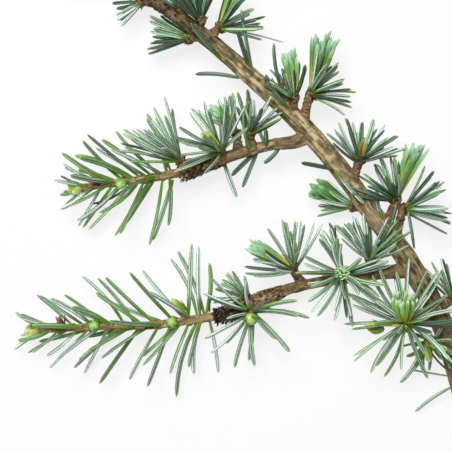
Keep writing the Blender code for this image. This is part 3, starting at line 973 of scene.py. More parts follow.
@dataclass(frozen=True)
class Tuft:
    """A tight brush of new needles in the middle of a rosette, which flares towards its end.

    hollow is the share of its middle that has no needles, and clear the angle from its axis within which the
    rosette has none.
    """

    heading: float
    rise: float
    length: float
    needles: int
    sort: Sort = Sort.NEW
    width: float = 0.72
    spread: float = 6.0
    base: float = 0.42
    lengths: tuple[float, float] = (0.84, 1.04)
    dome: float = 0.10
    curl: float = 0.16
    hollow: float = 0.0
    clear: float = 10.0

    def needle(self, name: str, head: Array, index: int, attempt: int) -> Needle:
        """Grows one needle of the brush.

        Args:
            name: Name of the spur.
            head: Where the brush stands.
            index: Which needle.
            attempt: Which try at it.

        Returns:
            The needle.
        """
        chance = random.Random(f"{name} tuft {index} {attempt}")
        axis = direction(self.heading, self.rise)
        side, lift = across(axis)
        share = math.sqrt(self.hollow + (1.0 - self.hollow) * (index + 0.5) / self.needles)
        turn = math.radians(index * GOLDEN_ANGLE)
        outward = turned(side, lift, turn)
        tilt = math.radians(self.spread * share)
        aim = turned(axis, outward, tilt)
        long = self.length * chance.uniform(*self.lengths) * (1.0 - self.dome * share)
        root, curl = head + outward * self.base * share, outward * self.curl * share * long
        return Needle(root, aim, long, curl).pressed()

    def hides(self, needle: Needle) -> bool:
        """Tells whether a needle of the rosette would stand in the brush."""
        axis = direction(self.heading, self.rise)
        return float(np.dot(needle.aim, axis)) > math.cos(math.radians(self.clear))


@dataclass(frozen=True)
class LongShoot:
    """A twig with needles all the way round and a bud on its tip.

    side_buds are shares of the twig and degrees round it from the top. leans and lengths give two rows:
    shares of the twig, and how far the needles lean from it or how long they are there.
    """

    name: str
    rows: Rows
    needles: int
    reach: float
    side_buds: tuple[tuple[float, float], ...]
    leans: Profile = ((0.0, 0.14, 0.3, 0.75, 1.0), (98.0, 72.0, 58.0, 52.0, 32.0))
    lengths: Profile = ((0.0, 0.5, 0.75, 0.9, 1.0), (1.0, 0.94, 0.78, 0.55, 0.42))
    lean_shake: float = 8.0
    turn_shake: float = 12.0
    length_shares: tuple[float, float] = (0.82, 1.04)
    curls: tuple[float, float] = (0.05, 0.22)
    root_offset: float = 0.3
    first: float = 0.6
    bud_radius: float = 1.45
    bud_length: float = 3.8
    bud: tuple[tuple[float, float], ...] = ((0.15, 0.80), (0.45, 1.0), (0.78, 0.75), (1.0, 0.25))
    side_bud_radius: float = 1.45

    def route(self, step: float) -> Array:
        """Works out the room that the twig takes, with the bud on its tip.

        Args:
            step: Between the points of the twig.

        Returns:
            Points with radii.
        """
        twig = smooth_route(self.rows, step)
        point, axis, _ = place_on(twig, distances(twig)[-1])
        bud = [(*(point + axis * self.bud_length * far), self.bud_radius * wide) for far, wide in self.bud]
        return np.vstack((twig, bud))

    def needle(self, route: Array, index: int, attempt: int) -> Needle:
        """Grows one needle: spirally set, leaning forward, shorter and closer to the twig at its tip.

        Args:
            route: The twig.
            index: Which needle.
            attempt: Which try at it.

        Returns:
            The needle.
        """
        chance = random.Random(f"{self.name} {index} {attempt}")
        share = (index + self.first) / self.needles
        point, axis, radius = place_on(route, share * distances(route)[-1])
        side, lift = across(axis)
        shake = chance.uniform(-1.0, 1.0) * self.turn_shake * (1 + attempt)
        turn = math.radians(index * GOLDEN_ANGLE + 90.0 + shake)
        outward = turned(side, lift, turn)
        lean = math.radians(np.interp(share, *self.leans) + chance.uniform(-1.0, 1.0) * self.lean_shake)
        aim = turned(axis, outward, lean)
        long = self.reach * np.interp(share, *self.lengths) * chance.uniform(*self.length_shares)
        curl = (axis - aim * math.cos(lean)) * long * chance.uniform(*self.curls)
        return Needle(point + outward * radius * self.root_offset, aim, long, curl).pressed()

    def side_bud_places(self, route: Array) -> Iterator[tuple[Array, Array, Array]]:
        """Finds the side buds.

        Args:
            route: The twig.

        Yields:
            For each, its centre, the way out from the twig, and the heading of the twig.
        """
        for share, turn in self.side_buds:
            point, axis, radius = place_on(route, share * distances(route)[-1])
            side, lift = across(axis)
            outward = turned(lift, side, math.radians(turn))
            yield point + outward * (radius + 0.5 * self.side_bud_radius), outward, axis


@dataclass(frozen=True)
class Taken:
    """Room that one line takes: points with radii, and a ball round them."""

    owner: str
    rows: Array
    middle: Array
    bound: float


def ball(rows: Array) -> tuple[Array, float]:
    """Returns the middle of points with radii, and how far they reach from it."""
    middle = rows[:, :3].mean(axis=0)
    return middle, (np.linalg.norm(rows[:, :3] - middle, axis=1) + rows[:, 3]).max()


class Room:
    """What is already taken, so that needles of different masses stay clear of each other."""

    def __init__(self, gap: float = 0.3, slack: float = 0.1, step: float = 0.6) -> None:
        """Starts empty.

        Args:
            gap: Air between two masses.
            slack: Added to it, as a crossing can fall between two samples.
            step: Between samples of a route.
        """
        self.gap = gap + slack
        self.step = step
        self.taken: list[Taken] = []
        self.radius = 0.72
        self.samples = np.linspace(0.06, 1.0, 30)
        self.widths = np.interp(self.samples, (0.0, 0.24, 0.80, 1.0), (0.0, self.radius, self.radius, 0.0))

    def add(self, owner: str, rows: Array) -> None:
        """Takes room for points with radii."""
        self.taken.append(Taken(owner, rows, *ball(rows)))

    def add_route(self, owner: str, route: Array) -> None:
        """Takes room for a limb, twig or peg."""
        self.add(owner, resampled(route, self.step))

    def rows(self, needle: Needle) -> Array:
        """Returns a needle's points with radii."""
        return np.column_stack((needle.points(self.samples), self.widths))

    def is_free(self, owner: str, needle: Needle) -> bool:
        """Tells whether a needle stays clear of everything but its own mass.

        Args:
            owner: Its mass.
            needle: The needle.

        Returns:
            Whether it does.
        """
        rows = self.rows(needle)
        middle, reach = ball(rows)
        bound = reach + self.gap
        near = [
            each.rows
            for each in self.taken
            if each.owner != owner and np.linalg.norm(each.middle - middle) < bound + each.bound
        ]
        if not near:
            return True
        others = np.vstack(near)
        apart = np.linalg.norm(rows[:, None, :3] - others[None, :, :3], axis=2)
        return bool((apart - others[:, 3] - rows[:, 3:]).min() >= self.gap)

    def claim(
        self, owner: str, grow: Callable[[int, int], Needle], indices: Iterable[int], tries: int = 5
    ) -> list[Needle]:
        """Grows the needles that have room. One that hits something is tried again, then skipped.

        Args:
            owner: Name of the mass.
            grow: Makes a needle from its index and the try.
            indices: Which needles.
            tries: How often each is tried.

        Returns:
            The needles.
        """
        kept = []
        for index in indices:
            for attempt in range(tries):
                needle = grow(index, attempt)
                if self.is_free(owner, needle):
                    self.add(owner, self.rows(needle))
                    kept.append(needle)
                    break
        return kept


# The plant's sizes

MAIN_STEM: Rows = (
    (68.3, -50.1, 3.45, 3.35),
    (61.6, -29.1, 6.6, 3.15),
    (51.8, -10.9, 9.0, 3.05),
    (41.7, 2.5, 11.0, 2.75),
    (29.7, 18.5, 12.4, 2.70),
    (17.9, 31.4, 12.8, 2.60),
    (5.0, 43.4, 12.6, 2.40),
    (-5.6, 52.5, 12.2, 2.30),
    (-16.5, 60.6, 11.6, 2.15),
    (-28.0, 68.0, 10.8, 1.80),
)
UPPER_SIDE_SHOOT: Rows = (
    (23.2, 25.5, 12.6, 2.30),
    (19.0, 23.4, 12.5, 1.90),
    (12.9, 22.7, 12.3, 1.55),
    (3.1, 20.1, 11.8, 1.60),
    (-5.6, 17.2, 11.2, 2.00),
    (-10.1, 15.9, 10.8, 2.55),
    (-13.0, 15.0, 10.4, 2.20),
)
LOWER_SIDE_SHOOT: Rows = (
    (52.6, -12.0, 9.0, 2.60),
    (47.9, -12.7, 9.2, 2.10),
    (43.7, -13.2, 9.6, 1.75),
    (30.2, -15.0, 10.2, 1.50),
    (19.6, -17.1, 10.2, 1.50),
    (15.4, -18.5, 10.0, 1.75),
    (11.5, -20.3, 9.8, 2.45),
    (7.4, -22.1, 9.5, 2.35),
    (2.1, -24.4, 9.2, 2.05),
    (-2.5, -25.3, 9.0, 1.55),
)
LEADING_TWIG: Rows = (
    (-28.4, 68.3, 10.8, 1.45),
    (-35.4, 76.4, 9.9, 1.25),
    (-42.2, 85.8, 8.8, 1.10),
    (-48.0, 95.6, 7.6, 0.95),
)
UPPER_TWIG: Rows = (
    (-13.6, 14.8, 10.3, 1.30),
    (-22.4, 13.2, 9.5, 1.10),
    (-30.5, 12.3, 8.7, 1.00),
    (-40.8, 10.8, 7.6, 0.90),
)
LOWER_TWIG: Rows = (
    (-3.1, -25.4, 8.9, 1.30),
    (-19.6, -27.8, 8.3, 1.15),
    (-30.0, -28.1, 7.7, 1.05),
    (-40.6, -28.6, 7.2, 1.00),
    (-53.0, -29.4, 6.6, 0.90),
)
ROUTE_STEP = 3.4

SWEPT_LEANS = ((0.0, 0.3, 0.75, 1.0), (64.0, 56.0, 50.0, 32.0))
LONG_SHOOTS = (
    LongShoot("leading_shoot", LEADING_TWIG, 42, 18.0, ((0.45, 60.0),), SWEPT_LEANS),
    LongShoot("upper_shoot_tip", UPPER_TWIG, 42, 20.5, ((0.58, -20.0),)),
    LongShoot("lower_shoot_tip", LOWER_TWIG, 46, 21.0, ((0.24, 10.0), (0.68, 15.0))),
)

SPURS = (
    Spur("spur_foot_right", "main_stem", 4.0, 49.0, 42.0, 1.9, (25.0, 22.0), 82.0, 20, 13.5),
    Spur("spur_small", "main_stem", 18.0, 172.0, 35.0, 4.6, (235.0, 52.0), 96.0, 12, 10.0),
    Spur("spur_front", "main_stem", 26.0, 186.0, 35.0, 9.8, (106.0, 60.0), 100.0, 42, 18.6),
    Spur("spur_right_edge", "main_stem", 29.0, 22.0, -7.0, 3.3, (92.0, 4.0), 64.0, 22, 14.0),
    Spur("spur_right_low", "main_stem", 51.5, 74.0, 8.0, 7.0, (19.0, 8.0), 46.0, 22, 15.0),
    Spur("spur_right_tuft", "main_stem", 56.0, 68.0, 26.0, 7.0, (120.0, 20.0), 54.0, 24, 14.0),
    Spur("spur_left_tuft", "main_stem", 64.0, 186.0, -41.0, 2.3, (166.0, -4.0), 34.0, 12, 11.5),
    Spur("spur_right_bud", "main_stem", 71.5, 73.0, 34.0, 5.5, (73.0, 20.0), 66.0, 36, 13.2),
    Spur("spur_middle_right", "main_stem", 93.0, 75.0, 8.0, 6.6, (30.0, 8.0), 60.0, 24, 13.6),
    Spur("spur_middle_left", "main_stem", 97.5, 75.0, 36.0, 3.0, (112.0, 14.0), 52.0, 20, 11.5),
    Spur("spur_upper_left", "main_stem", 131.5, 214.0, -30.0, 1.6, (171.0, 0.0), 32.0, 16, 14.5),
    Spur("spur_upper_right", "main_stem", 128.5, 45.0, 5.0, 2.5, (30.0, 6.0), 50.0, 18, 14.5),
    Spur("spur_upper_front", "main_stem", 132.5, 57.0, 56.0, 2.7, (104.0, 28.0), 38.0, 24, 14.5),
    Spur("spur_upper_middle", "main_stem", 137.5, 92.0, 54.0, 2.3, (103.0, 26.0), 42.0, 24, 14.0),
    Spur("spur_top_left", "main_stem", 147.5, 188.0, -24.0, 1.7, (192.0, 0.0), 38.0, 14, 10.0),
    Spur("spur_top_right", "main_stem", 153.0, 60.0, 20.0, 3.9, (66.0, 8.0), 72.0, 24, 14.0),
    Spur("upper_spur_stem", "upper_side_shoot", 16.5, 102.0, 32.0, 4.1, (78.0, 18.0), 52.0, 22, 12.8),
    Spur("upper_spur_tuft", "upper_side_shoot", 20.5, 97.0, -8.0, 4.4, (118.0, 2.0), 44.0, 14, 13.0),
    Spur("upper_spur_front", "upper_side_shoot", 25.5, 95.0, 55.0, 2.7, (130.0, 32.0), 70.0, 28, 16.0),
    Spur("upper_spur_scales", "upper_side_shoot", 35.5, 128.0, 35.0, 1.9, (124.0, 18.0), 56.0, 26, 19.0),
    Spur("lower_spur_stem", "lower_side_shoot", 10.5, 119.0, 37.0, 4.6, (90.0, 24.0), 64.0, 30, 14.5),
    Spur("lower_spur_front", "lower_side_shoot", 19.0, 145.0, 69.0, 4.8, (110.0, 78.0), 102.0, 36, 14.3),
    Spur("lower_spur_tuft", "lower_side_shoot", 31.5, 122.0, 29.0, 5.1, (124.0, 16.0), 68.0, 28, 15.5),
    Spur("lower_spur_bud", "lower_side_shoot", 47.0, 275.0, 60.0, 1.9, (258.0, 54.0), 98.0, 18, 17.5),
    Spur("lower_spur_back", "lower_side_shoot", 47.0, 117.0, 36.0, 1.2, (158.0, 20.0), 54.0, 18, 10.5),
)

TUFTS = {
    "spur_front": Tuft(98.0, 44.0, 13.5, 19, Sort.BRIGHT, 0.60, spread=24.0, curl=-0.20, hollow=0.25),
    "spur_right_tuft": Tuft(71.0, 12.0, 17.5, 21),
    "spur_left_tuft": Tuft(152.0, 2.0, 14.0, 20, Sort.FRESH, 0.84, spread=11.0, curl=0.04),
    "spur_right_bud": Tuft(82.0, 56.0, 10.4, 14, Sort.BRUSH, 0.52, spread=3.0, curl=-0.01, clear=26.0),
    "spur_middle_right": Tuft(74.0, 10.0, 18.0, 21),
    "spur_middle_left": Tuft(99.0, 6.0, 14.0, 17, spread=5.0, curl=0.10),
    "spur_upper_right": Tuft(64.0, 10.0, 14.5, 19),
    "spur_top_right": Tuft(72.0, 12.0, 13.5, 18),
    "upper_spur_tuft": Tuft(135.0, 6.0, 11.0, 19, spread=5.0, curl=0.04, clear=22.0),
    "upper_spur_front": Tuft(139.0, 38.0, 8.6, 16, Sort.LIME, 0.58, spread=9.0, curl=0.02, clear=28.0),
    "lower_spur_front": Tuft(100.0, 84.0, 5.0, 32, Sort.PALE, 0.72, spread=32.0, curl=-0.08),
    "lower_spur_tuft": Tuft(150.0, 20.0, 15.6, 20, spread=5.0, curl=0.06, clear=20.0),
}
TUFT_KEPT = 5  # the solids carry every fifth needle of a tuft,
NEEDLES_KEPT = 2  # and every second one of a rosette


# Bark, scales and buds


def skin(route: Array, marks: Array, angles: Array, swell: Array, look: float = 0.6) -> Array:
    """Carries a round section along a route.

    It is point(s) + (side * cos(a) + lift * sin(a)) * (radius(s) + swell), with a going round.

    Args:
        route: Points with radii.
        marks: Distances along it, one for each ring.
        angles: Places round a ring, in radians.
        swell: What to add to the radius, one number for each point of each ring.
        look: How far ahead and behind a ring looks for its heading.

    Returns:
        The rings.
    """
    walked = distances(route)
    here = np.column_stack([np.interp(marks, walked, column) for column in route.T])
    ahead = np.column_stack([np.interp(marks + look, walked, column) for column in route.T[:3]])
    behind = np.column_stack([np.interp(marks - look, walked, column) for column in route.T[:3]])
    heading = unit(ahead - behind)
    lean = across(unit(route[-1, :3] - route[0, :3]))[1]
    side = unit(np.cross(heading, lean))
    lift = np.cross(side, heading)
    out = side[:, None] * np.cos(angles)[None, :, None] + lift[:, None] * np.sin(angles)[None, :, None]
    return here[:, None, :3] + out * (here[:, 3, None] + swell)[:, :, None]


def lattice(route: Array, step: float, sides: int) -> tuple[Array, Array]:
    """Returns distances along a route at about every step, and the angles of a ring's points."""
    long = distances(route)[-1]
    return np.linspace(0.0, long, max(8, round(long / step))), circle(sides)


def sheath(
    route: Array, grid: tuple[Array, Array], swell: Array, finish: int, fields: dict[str, Array]
) -> Tubes:
    """Closes a skin with a pole at each end.

    Args:
        route: Points with radii.
        grid: Distances along it and angles round it.
        swell: What to add to the radius, one number for each point of each ring.
        finish: The finish's place in its shell.
        fields: Numbers for each point of each ring. A pole takes those of a point beside it.

    Returns:
        One tube.
    """
    marks, angles = grid
    rings = skin(route, marks, angles, swell)[None]
    poles = np.stack((rings[0, 0].mean(axis=0), rings[0, -1].mean(axis=0)))[None]
    shares = np.concatenate(([0.0], marks / marks[-1], [1.0]))
    closed = {
        key: np.concatenate((each.ravel(), each[0, :1], each[-1, :1]))[None] for key, each in fields.items()
    }
    return Tubes(rings, poles, shares, np.array([finish]), closed)


@dataclass(frozen=True)
class Bark:
    """How rough a limb's bark is: ridges that run lengthwise, fine cracks across, patches and leaf scars.

    dusk gives two rows, distances along the limb and how much darker and lower the bark is there.
    """

    sort: BarkSort
    seed: int
    sides: int = 88
    step: float = 0.32
    depth: float = 0.17
    ridges: int = 22
    ridge_length: float = 5.5
    scar_pitch: float = 3.4
    scar_height: float = 0.20
    dome: float = 1.6
    dusk: Profile = ((0.0, 1.0), (0.0, 0.0))

    def cover(self, route: Array, shell: Shell, open_foot: bool = False) -> None:
        """Covers a limb.

        Args:
            route: Points with radii.
            shell: The piece to add the bark to.
            open_foot: Whether the foot is a flat cut and not sunk in another limb.
        """
        marks, angles = lattice(route, self.step, self.sides)
        relief, patch, scar = self.fields(marks, angles, route)
        radii = np.interp(marks, distances(route), route[:, 3])
        left = np.clip((marks[-1] - marks) / self.dome, 0.0, 1.0)
        fall = np.sqrt(np.clip(1 - (1 - left) ** 2, 0.04, 1.0)) - 1.0
        swell = self.depth * relief + self.scar_height * scar + (fall * radii)[:, None]
        fields = {"relief": 0.5 + 0.5 * relief, "patch": 0.5 + 0.5 * patch, "scar": scar}
        bark = sheath(route, (marks, angles), swell, shell.finish_index(self.sort.value), fields)
        shell.add(bark)
        if open_foot:
            self.cut_face(bark.rings[0, 0], bark.poles[0, 0], shell)

    def fields(self, marks: Array, angles: Array, route: Array) -> tuple[Array, Array, Array]:
        """Works out the relief, patches and scars as noise stretched along the limb.

        A scar is a Gaussian bump with a tail towards the foot. Scars are dealt along the limb by the golden
        angle.

        Args:
            marks: Distances along the limb.
            angles: Places round it, in radians.
            route: Points with radii.

        Returns:
            Relief and patch from -1 to 1 and scar from 0 to 1, for each point of each ring.
        """
        s, turn = marks[:, None], angles[None, :] / (2 * math.pi)
        slow = noise(s / 7.0, turn * 5, 5, self.seed + 4)
        bands = noise(s / self.ridge_length, (turn + 0.05 * slow) * self.ridges, self.ridges, self.seed)
        fine = noise(s / 1.8, (turn + 0.02 * slow) * self.ridges * 2, self.ridges * 2, self.seed + 1)
        cross = noise(s / 0.5, turn * 9, 9, self.seed + 2)
        relief = 0.36 * (1 - 2 * np.abs(bands)) + 0.46 * fine + 0.18 * cross
        relief = relief - np.interp(s, *self.dusk)
        broad = noise(s / 5.0, turn * 4, 4, self.seed + 3)
        patch = broad * 0.7 + 0.3 * noise(s / 1.8, turn * 8, 8, self.seed + 5)
        count = int(marks[-1] / self.scar_pitch)
        chance = np.random.default_rng(self.seed + 6)
        at = (np.arange(count) + 0.5 + chance.uniform(-0.3, 0.3, count)) * self.scar_pitch
        round_it = np.radians(np.arange(count) * GOLDEN_ANGLE) + chance.uniform(-0.3, 0.3, count)
        height = chance.uniform(0.35, 1.0, count)
        thick = np.interp(at, distances(route), route[:, 3])
        ahead = marks[:, None, None] - at
        apart = np.angle(np.exp(1j * (angles[None, :, None] - round_it))) * thick
        tail = np.where(ahead < 0, 1.5, 0.45)
        bumps = height * np.exp(-((ahead / tail) ** 2) - (apart / 0.42) ** 2)
        return relief, patch, bumps.max(axis=2, initial=0.0)

    def cut_face(self, rim: Array, middle: Array, shell: Shell) -> None:
        """Lays the wood of the cut inside the bark's rim, as rings drawn in towards the middle.

        Args:
            rim: The first ring of the bark.
            middle: Its middle.
            shell: The piece to add the wood to.
        """
        shares = np.array((0.92, 0.90, 0.78, 0.62, 0.46, 0.30, 0.14))
        out = unit(np.cross(rim[len(rim) // 4] - middle, rim[0] - middle))
        level = np.array((-0.4, 0.05, 0.07, 0.06, 0.07, 0.06, 0.05))
        rings = middle + (rim - middle)[None] * shares[:, None, None] + (out * level[:, None])[:, None]
        poles = np.stack((middle - 0.4 * out, middle + 0.05 * out))[None]
        radial = np.concatenate((np.repeat(shares, len(rim)), (0.0, 0.0)))[None]
        finish = np.array([shell.finish_index(CUT_WOOD)])
        shell.add(Tubes(rings[None], poles, np.linspace(0, 1, len(shares) + 2), finish, {"relief": radial}))


@dataclass(frozen=True)
class Sleeve:
    """Old bud scales that stay round a limb where one year's growth ends and the next begins."""

    start: float
    end: float
    scales: int
    sorts: tuple[ScaleSort, ...]
    lean: tuple[float, float]
    length: tuple[float, float]
    size: tuple[float, float]
    proud: float = 0.9
    turn_shake: float = 30.0
    round_shake: float = 0.4
    curl: float = 0.35

    def lines(self, limb: str, route: Array) -> Iterator[Line]:
        """Deals the scales round and along the limb by the golden angle, each pointing on towards the tip.

        Args:
            limb: Name of the limb.
            route: Its points with radii.

        Yields:
            The middle line of each scale.
        """
        chance = random.Random(f"sleeve {limb} {self.start}")
        for index in range(self.scales):
            at = self.start + (self.end - self.start) * (index + chance.random()) / self.scales
            point, axis, radius = place_on(route, at)
            side, lift = across(axis)
            shake = chance.uniform(-self.turn_shake, self.turn_shake)
            turn = math.radians(index * GOLDEN_ANGLE + shake)
            out = turned(side, lift, turn)
            round_it = np.cross(axis, out) * chance.uniform(-self.round_shake, self.round_shake)
            lean = math.radians(chance.uniform(*self.lean))
            aim = unit(turned(axis, out, lean) + round_it)
            long = chance.uniform(*self.length)
            curl = -out * long * chance.uniform(0.0, self.curl)
            size = chance.uniform(*self.size)
            finish = chance.choice(self.sorts).value
            yield Line(point + out * radius * self.proud, aim, long, curl, out, size, chance.random(), finish)


@dataclass(frozen=True)
class Bud:
    """A bud: a pointed egg with overlapping scales.

    The egg is point(t, a) = foot + axis * length * t + out(a) * radius * width(t), with width(t) the root of
    sin(pi * t) drawn in towards the tip.
    """

    foot: Array
    axis: Array
    length: float
    radius: float
    core: Any
    scales: tuple[ScaleSort, ...]
    count: int
    scale_size: float = 1.0
    lift_off: float = 0.04
    first: float = 0.06
    span: float = 0.62
    ahead: float = 0.12
    sunk: float = 0.94
    turn_shake: float = 12.0
    usual_radius: float = 1.45

    def width(self, t: Array) -> Array:
        """Returns the half width at shares of the length, against the radius."""
        return np.sqrt(np.sin(math.pi * np.clip(t, 0.0, 1.0) ** 0.85)) * (1.0 - 0.12 * t)

    def under(self, needle: Needle) -> bool:
        """Tells whether a needle passes over the bud, so that it would hide it.

        Args:
            needle: The needle.

        Returns:
            Whether it does.
        """
        points = needle.points(np.linspace(0.1, 1.0, 16))
        middle = self.foot + self.axis * self.length * 0.5
        near = np.linalg.norm((points - middle)[:, :2], axis=1) < self.radius * 0.8
        return bool(np.any(near & (points[:, 2] > middle[2])))

    def grow(self, shell: Shell, seed: str, rings: int = 9, sides: int = 12) -> list[Line]:
        """Adds the egg to a shell and lays its scales.

        Args:
            shell: The piece.
            seed: Picks the shakes.
            rings: Rings of the egg.
            sides: Points in a ring.

        Returns:
            The scales' lines.
        """
        chance = random.Random(seed)
        side, lift = across(self.axis)
        t = np.linspace(0.03, 0.97, rings)
        turn = circle(sides)
        out = side * np.cos(turn)[:, None] + lift * np.sin(turn)[:, None]
        middle = self.foot + self.axis * self.length * t[:, None]
        rows = middle[:, None] + out[None] * (self.radius * self.width(t))[:, None, None]
        poles = np.stack((self.foot, self.foot + self.axis * self.length))[None]
        tone = np.full((1, rings * sides + 2), chance.uniform(0.6, 1.0))
        finish = np.array([shell.finish_index(self.core)])
        shell.add(Tubes(rows[None], poles, np.concatenate(([0.0], t, [1.0])), finish, {"tone": tone}))
        lines = []
        for index in range(self.count):
            at = self.first + self.span * index / self.count
            shake = chance.uniform(-self.turn_shake, self.turn_shake)
            angle = math.radians(index * GOLDEN_ANGLE + shake)
            away = turned(side, lift, angle)
            wide = float(self.width(np.array(at)))
            root = self.foot + self.axis * self.length * at + away * self.radius * wide * self.sunk
            later = min(1.0, at + self.ahead)
            slope = (float(self.width(np.array(later))) - wide) * self.radius / (self.ahead * self.length)
            aim = unit(self.axis + away * (slope + self.lift_off))
            long = self.length * (0.95 - at) * chance.uniform(0.75, 1.0)
            curl = -away * long * 0.42 * min(1.0, self.radius / self.length + 0.3)
            size = self.scale_size * self.radius / self.usual_radius * chance.uniform(0.85, 1.1)
            finish = chance.choice(self.scales).value
            lines.append(Line(root, aim, long, curl, away, size, chance.random(), finish))
        return lines


# Sub-assemblies


def settle(made: bpy.types.Object, slot: str, nodes: Sequence[str] = ()) -> None:
    """Puts a finished piece on the branch's one body and reports it.

    Args:
        made: The piece.
        slot: The record's material slot; not used.
        nodes: Solids that it stands for.
    """
    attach(made, "root")
    if nodes:
        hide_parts(*nodes)
    LOG.info("%s: %d faces, stands for %s", made.name, len(made.data.polygons), ", ".join(nodes) or "none")


class Layout:
    """The routes of the branch, and the needles that have room on it."""

    def __init__(self) -> None:
        """Draws the routes and deals the needles in the solids' order, then those in between."""
        rows = {
            "main_stem": MAIN_STEM,
            "upper_side_shoot": UPPER_SIDE_SHOOT,
            "lower_side_shoot": LOWER_SIDE_SHOOT,
        }
        self.limbs = {name: smooth_route(each, ROUTE_STEP) for name, each in rows.items()}
        self.pegs = {spur.name: spur.route(self.limbs) for spur in SPURS}
        self.room = Room()
        for name, route in self.limbs.items():
            self.room.add_route(name, route)
        for name, (route, _) in self.pegs.items():
            self.room.add_route(name, route)
        for shoot in LONG_SHOOTS:
            self.room.add_route(shoot.name, shoot.route(ROUTE_STEP))
        self.tufts: dict[str, list[Needle]] = {name: [] for name in TUFTS}
        self.needles: dict[str, list[Needle]] = {each.name: [] for each in (*SPURS, *LONG_SHOOTS)}
        self.grow_tufts(lambda index: index % TUFT_KEPT == 1)
        for shoot in LONG_SHOOTS:
            grow = partial(shoot.needle, smooth_route(shoot.rows, ROUTE_STEP))
            self.needles[shoot.name] += self.room.claim(shoot.name, grow, range(shoot.needles))
        self.grow_rosettes(lambda index: index % NEEDLES_KEPT == 0)
        self.grow_tufts(lambda index: index % TUFT_KEPT != 1)
        self.grow_rosettes(lambda index: index % NEEDLES_KEPT != 0)

    def grow_tufts(self, wanted: Callable[[int], bool]) -> None:
        """Grows some of the tufts' needles.

        Args:
            wanted: Tells whether a needle of this index is wanted now.
        """
        for name, tuft in TUFTS.items():
            grow = partial(tuft.needle, name, self.pegs[name][1])
            self.tufts[name] += self.room.claim(name, grow, filter(wanted, range(tuft.needles)))

    def grow_rosettes(self, wanted: Callable[[int], bool]) -> None:
        """Grows some of the rosettes' needles.

        Args:
            wanted: Tells whether a needle of this index is wanted now.
        """
        for spur in SPURS:
            grow = partial(spur.needle, self.pegs[spur.name][1])
            self.needles[spur.name] += self.room.claim(spur.name, grow, filter(wanted, range(spur.needles)))


@dataclass(frozen=True)
class Blend:
    """How often each sort of needle turns up."""

    sorts: tuple[Sort, ...]
    weights: tuple[float, ...]

    def pick(self, chance: random.Random) -> Sort:
        """Returns one sort by chance."""
        return chance.choices(self.sorts, self.weights)[0]


class Light(Enum):
    """How a mass is tinted: the odds of each sort of needle. The blend for the masses at the back is painted
    shade: many more dark DEEP needles and fewer pale BLUE ones than in front.
    """

    FRONT = Blend((Sort.MATURE, Sort.BLUE, Sort.GRASS, Sort.DEEP), (0.44, 0.34, 0.12, 0.10))
    # painted shade: the masses at the back take many more dark needles than those in front
    BACK = Blend((Sort.MATURE, Sort.BLUE, Sort.GRASS, Sort.DEEP), (0.36, 0.14, 0.06, 0.44))
    SHOOT = Blend((Sort.MATURE, Sort.BLUE, Sort.GRASS, Sort.DEEP), (0.30, 0.18, 0.44, 0.08))
    YOUNG = Blend((Sort.FRESH, Sort.GRASS, Sort.MATURE), (0.5, 0.3, 0.2))


def needle_line(needle: Needle, up: Array, chance: random.Random, sort: Sort, width: float = 1.0) -> Line:
    """Turns a needle into the line of a blade, bent a little between its root and its tip.

    Args:
        needle: The needle.
        up: Where its upper side looks, before it is rolled a little.
        chance: Source of the shakes.
        sort: Its sort.
        width: Against the usual width.

    Returns:
        The line.
    """
    roll = math.radians(chance.uniform(-NEEDLE_ROLL, NEEDLE_ROLL))
    sideways = np.cross(needle.aim, up)
    rolled = turned(up, sideways, roll)
    bend = (sideways * chance.uniform(-1.0, 1.0) - up * chance.uniform(-0.4, 1.0)) * BEND * needle.length
    straight = needle.aim * needle.length - bend
    size = width * chance.uniform(*NEEDLE_SIZES)
    long = float(np.linalg.norm(straight))
    curl, tone = needle.curl + bend, chance.random()
    return Line(needle.root, straight / long, long, curl, rolled, size, tone, sort.value)


def flared(needle: Needle, axis: Array, share: float = 0.8) -> Needle:
    """Keeps a needle's tip where it is and brings its lower half in towards the axis of its brush.

    Args:
        needle: The needle.
        axis: The way the brush points.
        share: How much of its lean goes to its outer half.

    Returns:
        The needle.
    """
    aim = unit(needle.aim * (1.0 - share) + axis * share)
    return Needle(needle.root, aim, needle.length, needle.curl + needle.length * (needle.aim - aim))


@dataclass(frozen=True)
class Rosette:
    """The needles of one spur."""

    spur: Spur
    needles: list[Needle]
    tuft: list[Needle]
    light: Light
    width: float = 0.84

    def build(self, shift: Array) -> None:
        """Makes one piece of the rosette and its brush of new needles.

        Args:
            shift: From the layout to the frame.
        """
        shell = Shell()
        chance = random.Random(f"{self.spur.name} looks")
        axis = direction(*self.spur.face)
        tuft = TUFTS.get(self.spur.name)
        old = [
            needle_line(each, axis, chance, self.light.value.pick(chance), self.width)
            for each in self.needles
            if tuft is None or not tuft.hides(each)
        ]
        shell.carry(NEEDLE, old)
        if tuft:
            lean = direction(tuft.heading, tuft.rise)
            middle = across(lean)[1]
            flare = [flared(each, lean) if tuft.curl > 0 else each for each in self.tuft]
            new = [needle_line(each, middle, chance, tuft.sort, tuft.width) for each in flare]
            shell.carry(NEW_NEEDLE, new)
        settle(shell.make(f"{self.spur.name}_needles", shift), "needles", (self.spur.name,))


@dataclass(frozen=True)
class HeadBud:
    """The closed bud in the middle of a rosette."""

    length: float = 2.5
    radius: float = 1.05
    core: ScaleSort = ScaleSort.BROWN
    scales: tuple[ScaleSort, ...] = (ScaleSort.TAN, ScaleSort.BROWN, ScaleSort.BUD)
    count: int = 9
    lift: float = -0.2


HEAD_BUDS = {
    "lower_spur_bud": HeadBud(3.4, 1.95, ScaleSort.GREEN, (ScaleSort.GREEN, ScaleSort.BUD), 7, 0.9),
    "upper_spur_stem": HeadBud(3.4, 1.3, ScaleSort.TAN, (ScaleSort.TAN, ScaleSort.COPPER), 12, 0.0),
    "spur_small": HeadBud(2.6, 1.1, ScaleSort.LIME, (ScaleSort.TAN, ScaleSort.LIME), 8, 0.0),
}


